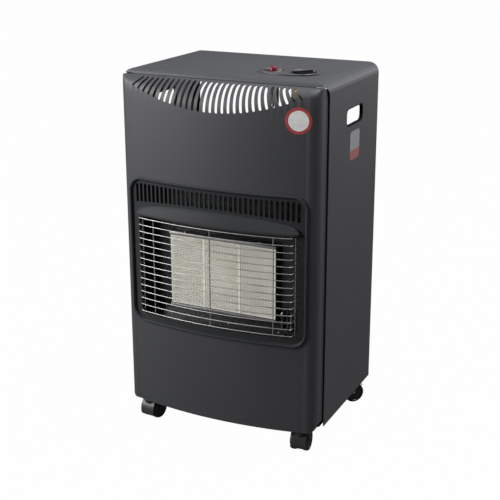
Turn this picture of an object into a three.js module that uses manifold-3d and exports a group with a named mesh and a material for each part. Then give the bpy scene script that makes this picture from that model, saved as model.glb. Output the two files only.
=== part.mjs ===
// Portable gas cabinet heater: a bowed steel cabinet on four twin-wheel castors, with a
// three-plaque radiant burner behind a wire guard and an open compartment for a gas cylinder.
// Millimetres, +Z up. The front faces -Y. Heights count from the floor, depths from the front
// edge of the side panels, and the whole heater is centred over its own footprint at the end.
import * as THREE from 'three';
import { mergeVertices } from 'three/addons/utils/BufferGeometryUtils.js';
import Module from 'manifold-3d';

const wasm = await Module();
wasm.setup();

// ---------------------------------------------------------------- driving dimensions
const cabinetWidth = 420;
const cabinetDepth = 263;        // side panels, front edge to rear edge
const cabinetHeight = 681;       // side panels and top, without the castors
const floorGap = 52;             // floor to the lower edge of the side panels
const sheet = 1.5;               // steel sheet of the casing
const wrapRadius = 20;           // outer bend between the top and the sides
const gap = 0.3;                 // seat clearance between pieces that touch

const topOverhang = 18;          // the top reaches this far in front of the side panels
const lipRadius = 8;             // rolled front edge of the top
const lipDrop = 9.5;             // height of that rolled edge
const sideBlend = 34;            // height of the curve from the side edge to the top edge
const rearFlange = 15;           // inward fold along the rear edges
const rearRailDrop = 30;         // downward fold at the rear of the top

const panelInset = 3.5;          // front panel's side wall, inward of the side panel's outside
const panelStandOff = 43;        // front panel's face at its ends, in front of the side panels
const panelBow = 21;             // extra depth of that face in the middle
const panelCorner = 22;          // vertical corner radius of the front panel
const panelTuck = 12;            // side wall's overlap behind the side panel's front edge
const panelTopGap = 10;          // below the top face
const panelTopReach = 28;        // where the rolled-back top of the front panel ends
const rollStartMiddle = 61;      // the roll back starts this far below the top, in the middle
const rollStartEnd = 27;         // the same at the ends
const bottomReturn = 6;          // inward fold along the front panel's lower edge

const ventCount = 29;
const ventPitch = 11.3;          // along their upper ends
const ventWidth = 5.6;
const ventTopDrop = 10.7;        // upper ends, below the top face
const ventBottomMiddle = 63;     // lower ends below the top face, in the middle
const ventBottomEnd = 28;        // the same at the ends
const ventFan = 1.09;            // spread of the lower ends over the upper ends

const handleLength = 89;
const handleHeight = 35;
const handleCorner = 10;
const handleDrop = 83;           // centre of the hand hole, below the top face
const handleTrimWall = 1.4;
const handleTrimDepth = 7;
const handleTrimLap = 4;

const surroundWidth = 380;
const surroundHeight = 300;
const surroundBottom = 229;
const surroundCorner = 30;
const surroundProud = 4;
const surroundRim = 7.5;         // width of the raised rim
const surroundLap = 4.5;         // the rim's overlap on the front panel
const surroundWall = 2;
const surroundSink = 6;          // back of the recessed floor, behind the panel's face
const fireBand = 20;             // recessed floor beside the fire opening, to the surround's outside
const fireBottom = 246;
const fireTop = 457;
const fireCorner = 18;
const louvreCount = 35;
const louvreMargin = 18.5;        // outermost louvres' centres, inward of the surround's sides
const louvreWidth = 5.2;
const louvreTop = 517;
const louvreBottomMiddle = 487;
const louvreBottomEnd = 475;
const canopyReach = 13;          // forward reach of the canopy's lower edge from the floor
const canopyMiddle = 24;         // canopy's height in the middle
const canopyEnd = 12;            // and at its ends
const canopyWall = 2;

const wireRadius = 1.2;
const guardWires = 15;
const guardPitch = 13.8;
const guardBottom = 256;
const guardEndInset = 6;          // wire ends, inward of the fire opening's sides
const guardProud = 10;           // wire centres in front of the panel's face
const guardUprightShare = 0.78;   // place of the side uprights along the wires' half length
const guardOverrun = 0.8;        // uprights past the outer wires

const plaqueCount = 3;
const burnerPitch = 77;
const plaqueSpace = 3.4;         // between neighbouring plaques
const plaqueHeight = 142;
const plaqueThick = 13.4;
const plaqueFront = 20.4;        // plaque's face, in front of the side panels
const burnerCentreZ = 340;
const burnerWall = 1.2;
const burnerDepth = 36;
const plenumInset = 3;
const mixerRadius = 9;
const mixerBore = 6.5;
const mixerLength = 40;
const retainerHeight = 3.2;

const reflectorMargin = 8;        // reflector box past the fire opening, sideways, down and up

const reflectorBack = 3.5;       // back face, in front of the side panels
const reflectorHole = 2;         // clearance round the burners

const manifoldRadius = 5;
const manifoldZ = 206;
const manifoldY = 6;
const manifoldPast = 35;         // rail past the outermost burners' centres
const injectorRadius = 5;
const injectorLength = 11;

const pilotPast = 18.5;          // pilot's centre, outward of the burner row
const pilotDrop = 72;            // below the burners' centre
const pilotY = -16;
const pilotJet = 3.5;            // radii of the three parts on the pilot's bracket
const pilotProbe = 2;
const pilotSpark = 3;
const pilotPlate = 30;           // length of that bracket
const pilotFoot = 12;            // what stands below its plate

const pipeRadius = 4;
const pilotPipeRadius = 1.8;
const pipeTap = 6;               // the two outlets, on both sides of the valve's axis
const pipeAside = 31;            // main pipe's fall, outward of the valve's axis
const pilotPipeAside = 15;
const pipeShieldGap = 12;        // in front of the heat shield
const pipeBend = 18;             // length of its bends

const shieldY = 20;
const shieldDrop = 133;          // heat shield's upper edge, below the top face
const shieldFlange = 12;
const deflectorLap = 22;         // on the heat shield
const deflectorRise = 26;
const deflectorReach = 32;
const deflectorSide = 160;       // left half length
const deflectorPipeGap = 13;     // right end, inward of the valve's axis
const armLength = 36;            // brackets between the burners and the heat shield
const armHalfHeight = 45;
const armFoot = 14;

const trayLift = 2;              // tray floor above the side panels' lower edge
const trayRim = 28;
const traySeatGap = 0.3;         // tray rims to the side panels
const trayVentPitch = 70;
const trayVentLength = 48;
const trayVentWidth = 10;

const coverTop = 560;
const coverBulge = 50;
const coverSideInset = 7;         // the cover's flanges, inward of the side panels
const coverFlange = 25;          // flat flanges on both sides of the bulge
const coverSlant = 32;           // width of the bulge's slanting sides
const coverLift = 5;             // lower edge above the side panels' lower edge
const coverVents = 6;
const coverVentPitch = 36;
const coverVentWidth = 10;
const coverVentLength = 52;
const coverVentInset = 75;       // vents' centres, inward of the cover's upper and lower edges

const controlInset = 108;        // centre of the controls, inward of the right side
const controlY = 62;
const plateLength = 122;
const plateDepth = 74;
const plateThick = 2.2;
const knobOffset = 29;
const buttonOffset = -32;
const knobWell = 54;             // inner diameters of the two wells
const buttonWell = 42;
const wellDepth = 9;
const wellWall = 1.8;
const knobDiameter = 45;
const knobHeight = 11;
const gripWidth = 7;
const gripAngle = 52;            // degrees
const pushTravel = 4;
const buttonDiameter = 13.4;
const buttonHeight = 13;
const buttonTravel = 8;
const spindleRadius = 4;
const neckRadius = 9;
const valveBlock = 34;
const valveHeight = 43;
const bracketDrop = 20;          // bracket plate below the top face
const bracketHalf = 20;
const plugRadius = 6.2;
const boreRadius = 6.5;
const piezoRadius = 11;
const piezoHeight = 40;

const castorSideInset = 40;       // swivel axes, inward of the side panels
const castorFrontInset = 38;     // behind the front panel's foremost line
const castorRearInset = 35;      // in front of the side panels' rear edge
const castorTrail = 14;
const castorTurns = { front_left: -7, front_right: 8, rear_left: 24, rear_right: -48 };
const wheelRadius = 22;
const wheelWidth = 14;
const wheelBore = 3.3;
const axleRadius = 3;
const webThick = 9;
const hoodGap = 1.2;
const hoodWall = 2;
const stemRadius = 5;
const stemHeight = 24;
const socketWall = 1.9;
const socketFlange = 11;
const socketPlate = 2;
const hoodFrom = 38;             // degrees round the axle, from the rear
const hoodTo = 205;

// ---------------------------------------------------------------- derived places
const halfWidth = cabinetWidth / 2;
const fireWidth = surroundWidth - 2 * fireBand; // opening that the guard covers
const topZ = floorGap + cabinetHeight;
const shieldTop = topZ - shieldDrop;
const panelHalf = halfWidth - panelInset;
const panelFlatHalf = panelHalf - panelCorner;
const panelTopZ = topZ - panelTopGap;
const handleZ = topZ - handleDrop;
const trayZ = floorGap + trayLift;
const controlX = halfWidth - controlInset;
const knobX = controlX + knobOffset;
const buttonX = controlX + buttonOffset;
const controlWells = [[knobX, knobWell], [buttonX, buttonWell]];
const wellFloorZ = topZ - wellDepth;
const bracketZ = topZ - bracketDrop;
const blockTopZ = bracketZ - gap;
const neckTopZ = wellFloorZ - wellWall - 1;
const guardTop = guardBottom + (guardWires - 1) * guardPitch;
const guardHalf = fireWidth / 2 - guardEndInset;
const guardUprights = [-guardUprightShare * guardHalf, 0, guardUprightShare * guardHalf];
const louvrePitch = (surroundWidth - 2 * louvreMargin) / (louvreCount - 1);
const plaqueWidth = burnerPitch - plaqueSpace;
const burnerRowHalf = (plaqueCount * burnerPitch) / 2;
const reflectorHalf = Math.max(fireWidth / 2, burnerRowHalf) + reflectorMargin;
const reflectorBottom = fireBottom - reflectorMargin;
const reflectorTop = fireTop + reflectorMargin;
const manifoldHalf = ((plaqueCount - 1) / 2) * burnerPitch + manifoldPast;
const coverFlangeHalf = halfWidth - coverSideInset;
const coverShoulder = coverFlangeHalf - coverFlange;
const coverFlatHalf = coverShoulder - coverSlant;
const pilotX = burnerRowHalf + pilotPast;
const pilotZ = burnerCentreZ - pilotDrop;
const castorX = halfWidth - castorSideInset;
const castorFrontY = -panelStandOff - panelBow + castorFrontInset;
const castorRearY = cabinetDepth - castorRearInset;
// reach of the cutters that pass right through the bowed face
const cutFront = -panelStandOff - panelBow - 20;
const cutBack = -panelStandOff + 25;

// depth of the bowed face at a place across the heater
function bowY(x) {
  const share = Math.min(1, Math.abs(x) / panelFlatHalf);
  return -panelBow * (1 - share * share);
}
function faceY(x) {
  return -panelStandOff + bowY(x);
}
// places across the heater at which the bowed sheets are faceted
const bowSpans = 8;
const bowColumns = Array.from({ length: bowSpans + 1 }, (_, i) => panelFlatHalf * ((2 * i) / bowSpans - 1));
// the faceted face between those places
function facetY(x) {
  const reach = Math.min(panelFlatHalf, Math.max(-panelFlatHalf, x));
  const column = Math.min(bowSpans - 1, Math.floor(((reach / panelFlatHalf + 1) * bowSpans) / 2));
  const share = (reach - bowColumns[column]) / (bowColumns[column + 1] - bowColumns[column]);
  return faceY(bowColumns[column]) * (1 - share) + faceY(bowColumns[column + 1]) * share;
}
function facetPlaces(half) {
  return [-half, ...bowColumns.filter((x) => Math.abs(x) < half - 1), half];
}
// the front panel's outer outline, corners included
function outlineY(x) {
  const past = Math.abs(x) - panelFlatHalf;
  if (past <= 0) return faceY(x);
  const reach = Math.min(past, panelCorner);
  return -panelStandOff + panelCorner - Math.sqrt(panelCorner ** 2 - reach ** 2);
}

// ---------------------------------------------------------------- finishes
function finish(color, roughness, metalness) {
  return new THREE.MeshStandardMaterial({ color, roughness, metalness });
}
const finishes = {
  casing: finish(0x4b4d51, 0.55, 0.35),
  surround: finish(0x1c1d1f, 0.35, 0.3),
  blackSteel: finish(0x141414, 0.6, 0.5),
  galvanised: finish(0x8d9092, 0.45, 0.9),
  chrome: finish(0xc9cbcc, 0.2, 1.0),
  ceramic: finish(0xd0c8b8, 0.95, 0.0),
  brass: finish(0xb08d4a, 0.35, 1.0),
  copper: finish(0xb06a45, 0.35, 1.0),
  blackPlastic: finish(0x161719, 0.5, 0.0),
  greyPlastic: finish(0x35373a, 0.55, 0.0),
  redPlastic: finish(0x9c1420, 0.4, 0.0),
  white: finish(0xe6e2d8, 0.6, 0.0),
  rubber: finish(0x0d0d0e, 0.8, 0.0),
};

// ---------------------------------------------------------------- solid helpers
function toSolid(geometry) {
  const plain = geometry.clone();
  plain.deleteAttribute('normal');
  plain.deleteAttribute('uv');
  const merged = mergeVertices(plain, 1e-4);
  const vertProperties = new Float32Array(merged.attributes.position.array);
  const triVerts = new Uint32Array(merged.index.array);
  return new wasm.Manifold(new wasm.Mesh({ numProp: 3, vertProperties, triVerts }));
}
function toGeometry(solid) {
  const mesh = solid.getMesh();
  const geometry = new THREE.BufferGeometry();
  geometry.setAttribute('position', new THREE.BufferAttribute(new Float32Array(mesh.vertProperties), 3));
  geometry.setIndex(new THREE.BufferAttribute(new Uint32Array(mesh.triVerts), 1));
  geometry.computeVertexNormals();
  return geometry;
}
function join(first, ...others) {
  let solid = toSolid(first);
  for (const other of others) solid = solid.add(toSolid(other));
  return toGeometry(solid);
}
function cut(first, ...others) {
  let solid = toSolid(first);
  for (const other of others) solid = solid.subtract(toSolid(other));
  return toGeometry(solid);
}
function common(first, second) {
  return toGeometry(toSolid(first).intersect(toSolid(second)));
}

// a box between two corners
function block(x0, x1, y0, y1, z0, z1) {
  const geometry = new THREE.BoxGeometry(x1 - x0, y1 - y0, z1 - z0);
  return geometry.translate((x0 + x1) / 2, (y0 + y1) / 2, (z0 + z1) / 2);
}
function extrude(shape, depth, curveSegments) {
  return new THREE.ExtrudeGeometry(shape, { depth, bevelEnabled: false, curveSegments, steps: 1 });
}
// an XY outline raised along Z; an arc takes twice curveSegments
function alongZ(shape, z0, z1, curveSegments = 4) {
  return extrude(shape, z1 - z0, curveSegments).translate(0, 0, z0);
}
// an XZ outline pushed along Y
function alongY(shape, y0, y1, curveSegments = 4) {
  return extrude(shape, y1 - y0, curveSegments).rotateX(Math.PI / 2).translate(0, y1, 0);
}
// a YZ outline pushed along X
function alongX(shape, x0, x1, curveSegments = 4) {
  const turn = new THREE.Matrix4().makeBasis(
    new THREE.Vector3(0, 1, 0),
    new THREE.Vector3(0, 0, 1),
    new THREE.Vector3(1, 0, 0),
  );
  return extrude(shape, x1 - x0, curveSegments).applyMatrix4(turn).translate(x0, 0, 0);
}
function cylinder(radius, x, y, z0, z1, sides = 16) {
  const geometry = new THREE.CylinderGeometry(radius, radius, z1 - z0, sides);
  return geometry.rotateX(Math.PI / 2).translate(x, y, (z0 + z1) / 2);
}
function cylinderX(radius, x0, x1, y, z, sides = 16) {
  const geometry = new THREE.CylinderGeometry(radius, radius, x1 - x0, sides);
  return geometry.rotateZ(Math.PI / 2).translate((x0 + x1) / 2, y, z);
}
// a turned piece about Z, from a list of [radius, height]
function turned(profile, segments) {
  const points = profile.map(([radius, height]) => new THREE.Vector2(radius, height));
  return new THREE.LatheGeometry(points, segments).rotateX(Math.PI / 2);
}
function roundedRect(halfX, halfZ, radius, centreX = 0, centreZ = 0) {
  const shape = new THREE.Shape();
  const left = centreX - halfX;
  const right = centreX + halfX;
  const low = centreZ - halfZ;
  const high = centreZ + halfZ;
  shape.moveTo(left + radius, low);
  shape.lineTo(right - radius, low);
  shape.absarc(right - radius, low + radius, radius, -Math.PI / 2, 0);
  shape.lineTo(right, high - radius);
  shape.absarc(right - radius, high - radius, radius, 0, Math.PI / 2);
  shape.lineTo(left + radius, high);
  shape.absarc(left + radius, high - radius, radius, Math.PI / 2, Math.PI);
  shape.lineTo(left, low + radius);
  shape.absarc(left + radius, low + radius, radius, Math.PI, Math.PI * 1.5);
  return shape;
}
function oval(halfX, halfY, centreX, centreY) {
  const shape = new THREE.Shape();
  shape.absellipse(centreX, centreY, halfX, halfY, 0, Math.PI * 2);
  return shape;
}
// a closed tube along a route of points
function tube(points, radius, sides = 6, steps = 24) {
  const curve = new THREE.CatmullRomCurve3(points, false, 'centripetal');
  const section = new THREE.Shape();
  section.absarc(0, 0, radius, 0, Math.PI * 2);
  const curveSegments = sides / 2;
  return new THREE.ExtrudeGeometry(section, { steps, curveSegments, bevelEnabled: false, extrudePath: curve });
}
// a closed body through equal loops of points, with flat ends seen along the third axis
function loft(loops, across = 'y', up = 'z') {
  const count = loops[0].length;
  const vertices = loops.flat().flatMap((point) => [point.x, point.y, point.z]);
  const index = [];
  for (let row = 0; row + 1 < loops.length; row += 1) {
    for (let i = 0; i < count; i += 1) {
      const a = row * count + i;
      const b = row * count + ((i + 1) % count);
      index.push(a, b, b + count, a, b + count, a + count);
    }
  }
  const flat = loops[0].map((point) => new THREE.Vector2(point[across], point[up]));
  const last = (loops.length - 1) * count;
  const clockwise = THREE.ShapeUtils.isClockWise(flat);
  for (const face of THREE.ShapeUtils.triangulateShape(flat, [])) {
    const [a, b, c] = clockwise ? face.toReversed() : face;
    index.push(c, b, a);
    index.push(last + a, last + b, last + c);
  }
  const geometry = new THREE.BufferGeometry();
  geometry.setAttribute('position', new THREE.Float32BufferAttribute(vertices, 3));
  geometry.setIndex(index);
  return outward(geometry);
}
// turns a closed geometry's faces outward if they all face inward
function outward(geometry) {
  const position = geometry.attributes.position;
  const index = geometry.index.array;
  const corner = (i) => new THREE.Vector3().fromBufferAttribute(position, index[i]);
  let volume = 0;
  for (let i = 0; i < index.length; i += 3) {
    volume += corner(i).dot(corner(i + 1).cross(corner(i + 2)));
  }
  if (volume < 0) geometry.setIndex(Array.from(index).reverse());
  return geometry;
}

// splits every triangle at planes across one axis, so that the body can be bent there
function slice(geometry, axis, planes) {
  const merged = mergeVertices(stripped(geometry), 1e-4);
  const position = merged.attributes.position;
  let faces = [];
  for (let i = 0; i < merged.index.count; i += 3) {
    faces.push([0, 1, 2].map((k) => new THREE.Vector3().fromBufferAttribute(position, merged.index.getX(i + k))));
  }
  for (const plane of planes) faces = faces.flatMap((face) => splitFace(face, axis, plane));
  const flat = faces.flat().flatMap((point) => [point.x, point.y, point.z]);
  const result = new THREE.BufferGeometry();
  result.setAttribute('position', new THREE.Float32BufferAttribute(flat, 3));
  return result;
}
function stripped(geometry) {
  const plain = geometry.clone();
  plain.deleteAttribute('normal');
  plain.deleteAttribute('uv');
  return plain;
}
function splitFace(face, axis, plane) {
  const near = 1e-4;
  const side = face.map((point) => (Math.abs(point[axis] - plane) < near ? 0 : Math.sign(point[axis] - plane)));
  if (!(side.includes(1) && side.includes(-1))) return [face];
  const low = [];
  const high = [];
  for (let i = 0; i < 3; i += 1) {
    const next = (i + 1) % 3;
    if (side[i] <= 0) low.push(face[i]);
    if (side[i] >= 0) high.push(face[i]);
    if (side[i] * side[next] < 0) {
      const crossing = crossPoint(face[i], face[next], axis, plane);
      low.push(crossing);
      high.push(crossing);
    }
  }
  return [...fan(low), ...fan(high)];
}
// the same point for an edge whichever way round the edge is given
function crossPoint(a, b, axis, plane) {
  const [first, second] = a[axis] < b[axis] ? [a, b] : [b, a];
  const share = (plane - first[axis]) / (second[axis] - first[axis]);
  const point = first.clone().lerp(second, share);
  point[axis] = plane;
  return point;
}
function fan(polygon) {
  const faces = [];
  for (let i = 1; i + 1 < polygon.length; i += 1) faces.push([polygon[0], polygon[i], polygon[i + 1]]);
  return faces;
}
function spread(from, to, count) {
  return Array.from({ length: count + 1 }, (_, i) => from + ((to - from) * i) / count);
}
// moves each point of a sliced body by a depth that depends on its place across and up
function bend(geometry, depthAt) {
  const position = geometry.attributes.position;
  for (let i = 0; i < position.count; i += 1) {
    position.setY(i, position.getY(i) + depthAt(position.getX(i), position.getZ(i)));
  }
  return mergeVertices(geometry, 1e-4);
}

const heater = new THREE.Group();
function add(name, geometry, material, parent = heater) {
  const mesh = new THREE.Mesh(geometry, material);
  mesh.name = name;
  parent.add(mesh);
  return mesh;
}

// ---------------------------------------------------------------- casing
function wrapOutline() {
  const inner = wrapRadius - sheet;
  const shape = new THREE.Shape();
  shape.moveTo(-halfWidth, floorGap);
  shape.lineTo(-halfWidth, topZ - wrapRadius);
  shape.absarc(-halfWidth + wrapRadius, topZ - wrapRadius, wrapRadius, Math.PI, Math.PI / 2, true);
  shape.lineTo(halfWidth - wrapRadius, topZ);
  shape.absarc(halfWidth - wrapRadius, topZ - wrapRadius, wrapRadius, Math.PI / 2, 0, true);
  shape.lineTo(halfWidth, floorGap);
  shape.lineTo(halfWidth - sheet, floorGap);
  shape.lineTo(halfWidth - sheet, topZ - wrapRadius);
  shape.absarc(halfWidth - wrapRadius, topZ - wrapRadius, inner, 0, Math.PI / 2);
  shape.lineTo(-halfWidth + wrapRadius, topZ - sheet);
  shape.absarc(-halfWidth + wrapRadius, topZ - wrapRadius, inner, Math.PI / 2, Math.PI);
  shape.lineTo(-halfWidth + sheet, floorGap);
  return shape;
}
// what is cut away so that the side edges curve forward into the top edge
function sideEdgeCut() {
  const front = -topOverhang - 10;
  const shape = new THREE.Shape();
  shape.moveTo(front, floorGap - 10);
  shape.lineTo(0, floorGap - 10);
  shape.lineTo(0, topZ - sideBlend);
  shape.quadraticCurveTo(0, topZ - lipDrop, -topOverhang, topZ - lipRadius);
  shape.absarc(-topOverhang + lipRadius, topZ - lipRadius, lipRadius, Math.PI, Math.PI / 2, true);
  shape.lineTo(-topOverhang + lipRadius, topZ + 10);
  shape.lineTo(front, topZ + 10);
  return alongX(shape, -halfWidth - 10, halfWidth + 10, 4);
}
// the rolled front edge of the top
function frontLip() {
  const centreY = -topOverhang + lipRadius;
  const centreZ = topZ - lipRadius;
  const shape = new THREE.Shape();
  shape.moveTo(centreY, topZ);
  shape.absarc(centreY, centreZ, lipRadius, Math.PI / 2, Math.PI);
  shape.lineTo(-topOverhang, topZ - lipDrop);
  shape.lineTo(-topOverhang + sheet, topZ - lipDrop);
  shape.lineTo(-topOverhang + sheet, centreZ);
  shape.absarc(centreY, centreZ, lipRadius - sheet, Math.PI, Math.PI / 2, true);
  return alongX(shape, -halfWidth + wrapRadius, halfWidth - wrapRadius, 2);
}
// fills the corner between that edge and the bend, level with the edge's underside
function lipCorner(side) {
  const radius = wrapRadius - sheet / 2;
  const centre = halfWidth - wrapRadius;
  const rise = wrapRadius - lipDrop;
  const start = Math.asin(rise / radius);
  const shape = new THREE.Shape();
  shape.moveTo(side * (centre - 1), topZ - lipDrop);
  shape.lineTo(side * (centre + radius * Math.cos(start)), topZ - lipDrop);
  const from = side > 0 ? start : Math.PI - start;
  shape.absarc(side * centre, topZ - wrapRadius, radius, from, Math.PI / 2, side < 0);
  shape.lineTo(side * (centre - 1), topZ - sheet / 2);
  return alongY(shape, -topOverhang, -topOverhang + lipRadius, 2);
}
function handleCutter() {
  const shape = roundedRect(handleLength / 2, handleHeight / 2, handleCorner, cabinetDepth / 2, handleZ);
  return alongX(shape, -halfWidth - 10, halfWidth + 10, 1);
}
function buildShell() {
  const wrap = alongY(wrapOutline(), -topOverhang, cabinetDepth, 3);
  const lipRoom = block(
    -halfWidth + wrapRadius, halfWidth - wrapRadius,
    -topOverhang - 1, -topOverhang + lipRadius,
    topZ - sheet - 1, topZ + 1,
  );
  const wellHoles = controlWells.map(([x, size]) => (
    cylinder(size / 2 + wellWall + gap, x, controlY, topZ - 10, topZ + 5, 24)
  ));
  const rear = cabinetDepth - sheet;
  const inside = halfWidth - sheet / 2;
  const leftFlange = block(-inside, -halfWidth + rearFlange, rear, cabinetDepth, floorGap, topZ - wrapRadius);
  const rightFlange = block(halfWidth - rearFlange, inside, rear, cabinetDepth, floorGap, topZ - wrapRadius);
  const rail = block(
    -halfWidth + wrapRadius, halfWidth - wrapRadius, rear, cabinetDepth, topZ - rearRailDrop, topZ - sheet / 2,
  );
  const cornered = join(wrap, lipCorner(1), lipCorner(-1));
  const trimmed = cut(cornered, sideEdgeCut(), lipRoom, ...wellHoles, handleCutter());
  add('cabinet_shell', join(trimmed, frontLip(), leftFlange, rightFlange, rail), finishes.casing);
}

// snap-in edging of a hand hole: a sleeve through the hole and a lap behind the sheet
function buildHandleTrim(name, side) {
  const fit = gap;
  const outerFace = halfWidth;
  const innerFace = halfWidth - sheet;
  const centreY = cabinetDepth / 2;
  const length = handleLength / 2 - fit;
  const height = handleHeight / 2 - fit;
  const sleeve = alongX(
    roundedRect(length, height, handleCorner - fit, centreY, handleZ), outerFace - handleTrimDepth, outerFace, 1,
  );
  const lap = alongX(
    roundedRect(length + handleTrimLap, height + handleTrimLap, handleCorner + handleTrimLap, centreY, handleZ),
    innerFace - fit - handleTrimWall, innerFace - fit, 1,
  );
  const bore = alongX(
    roundedRect(
      length - handleTrimWall, height - handleTrimWall, handleCorner - handleTrimWall, centreY, handleZ,
    ),
    outerFace - handleTrimDepth - 5, outerFace + 5, 1,
  );
  const trim = cut(join(sleeve, lap), bore);
  if (side < 0) trim.rotateZ(Math.PI).translate(0, cabinetDepth, 0);
  add(name, trim, finishes.blackPlastic);
}

// ---------------------------------------------------------------- front panel
// one level of the panel: its outer outline and, inside it, the same line one sheet further in
function panelLoop(z) {
  const level = (x, y) => new THREE.Vector3(x, y + panelDepth(x, z) - bowY(x), z);
  const outer = panelLine(panelCorner).map(([x, y]) => level(x, y));
  const inner = panelLine(panelCorner - sheet).map(([x, y]) => level(x, y));
  return [...outer, ...inner.reverse()];
}
function panelLine(radius) {
  const line = [];
  const wall = panelCorner - radius;
  const arc = spread(Math.PI, Math.PI * 1.5, 3);
  line.push([-panelHalf + wall, panelTuck]);
  for (const turn of arc) {
    line.push([-panelFlatHalf + radius * Math.cos(turn), -panelStandOff + panelCorner + radius * Math.sin(turn)]);
  }
  for (const x of bowColumns.slice(1, -1)) line.push([x, faceY(x) + wall]);
  for (const turn of arc.toReversed()) {
    line.push([panelFlatHalf - radius * Math.cos(turn), -panelStandOff + panelCorner + radius * Math.sin(turn)]);
  }
  line.push([panelHalf - wall, panelTuck]);
  return line;
}
// the inward fold along the lower edge
function lowerFold() {
  const shape = new THREE.Shape();
  const near = sheet / 2;
  const far = sheet + bottomReturn;
  shape.moveTo(bowColumns[0], faceY(bowColumns[0]) + near);
  for (const x of bowColumns.slice(1)) shape.lineTo(x, faceY(x) + near);
  for (const x of bowColumns.toReversed()) shape.lineTo(x, faceY(x) + far);
  return alongZ(shape, floorGap, floorGap + sheet);
}
function ventBottomDrop(x) {
  const share = x / (((ventCount - 1) / 2) * ventPitch * ventFan);
  return ventBottomMiddle + (ventBottomEnd - ventBottomMiddle) * share * share;
}
// one vent: a round-ended slot from its upper end to its fanned-out lower end
function ventCutter(order) {
  const topX = (order - (ventCount - 1) / 2) * ventPitch;
  const lowX = topX * ventFan;
  const topEnd = new THREE.Vector2(topX, topZ - ventTopDrop - ventWidth / 2);
  const lowEnd = new THREE.Vector2(lowX, topZ - ventBottomDrop(lowX) + ventWidth / 2);
  const along = topEnd.clone().sub(lowEnd);
  const angle = Math.atan2(along.y, along.x);
  const shape = new THREE.Shape();
  shape.absarc(lowEnd.x, lowEnd.y, ventWidth / 2, angle + Math.PI / 2, angle + Math.PI * 1.5);
  shape.absarc(topEnd.x, topEnd.y, ventWidth / 2, angle - Math.PI / 2, angle + Math.PI / 2);
  return alongY(shape, cutFront, cutBack, 1);
}
// the roll back: an elliptic quarter that carries the face back to the top's front edge
function rollShare(x, z) {
  const share = Math.min(1, Math.abs(x) / panelFlatHalf);
  const startDrop = rollStartMiddle + (rollStartEnd - rollStartMiddle) * share * share;
  const start = topZ - startDrop;
  if (z <= start) return 0;
  const sweep = 1.25;
  const rise = ((z - start) / (panelTopZ - start)) * Math.sin(sweep);
  return (1 - Math.sqrt(1 - rise * rise)) / (1 - Math.cos(sweep));
}
function panelDepth(x, z) {
  const back = Math.max(0, -panelTopReach - outlineY(x));
  return bowY(x) + back * rollShare(x, z);
}
function surroundShape(inset) {
  const centreZ = surroundBottom + surroundHeight / 2;
  const halfX = surroundWidth / 2 - inset;
  const halfZ = surroundHeight / 2 - inset;
  return roundedRect(halfX, halfZ, surroundCorner - inset, 0, centreZ);
}
// all that the panel's tucked-in edges must keep clear of: the wrap, its thickness and a gap
function outsideWrap() {
  const half = halfWidth - sheet - gap;
  const radius = wrapRadius - sheet - gap;
  const centreZ = topZ - wrapRadius;
  const low = floorGap - 20;
  const shape = new THREE.Shape();
  shape.moveTo(-half, low);
  shape.lineTo(-half, centreZ);
  shape.absarc(-half + radius, centreZ, radius, Math.PI, Math.PI / 2, true);
  shape.lineTo(half - radius, centreZ + radius);
  shape.absarc(half - radius, centreZ, radius, Math.PI / 2, 0, true);
  shape.lineTo(half, low);
  const room = alongY(shape, -topOverhang - 10, panelTuck + 20, 3);
  const around = block(
    -halfWidth - 10, halfWidth + 10, -topOverhang - 1, panelTuck + 5, centreZ - 10, topZ + 10,
  );
  return cut(around, room);
}
function buildFrontPanel() {
  const levels = [floorGap, ...spread(topZ - rollStartMiddle, panelTopZ, 4)];
  const bent = join(loft(levels.map(panelLoop), 'x', 'y'), lowerFold());
  let solid = toSolid(bent).subtract(toSolid(alongY(surroundShape(surroundLap), cutFront, cutBack, 2)));
  for (let order = 0; order < ventCount; order += 1) solid = solid.subtract(toSolid(ventCutter(order)));
  const shelf = block(
    -panelHalf + sheet / 2, panelHalf - sheet / 2, -panelTopReach + sheet / 2, -topOverhang + lipRadius,
    panelTopZ - sheet, panelTopZ - gap,
  );
  const whole = solid.add(toSolid(shelf)).subtract(toSolid(outsideWrap()));
  add('front_panel', toGeometry(whole), finishes.casing);
}

// ---------------------------------------------------------------- burner surround
function louvreBottom(x) {
  const share = (2 * x) / surroundWidth;
  return louvreBottomMiddle + (louvreBottomEnd - louvreBottomMiddle) * share * share;
}
function louvreCutter(order) {
  const x = (order - (louvreCount - 1) / 2) * louvrePitch;
  const half = louvreWidth / 2;
  const cornerStart = surroundWidth / 2 - surroundCorner;
  const past = Math.max(0, Math.abs(x) + half - cornerStart);
  const top = louvreTop - (surroundCorner - Math.sqrt(Math.max(0, surroundCorner ** 2 - past ** 2)));
  const low = louvreBottom(x);
  return block(x - half, x + half, cutFront, cutBack, low, top);
}
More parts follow.
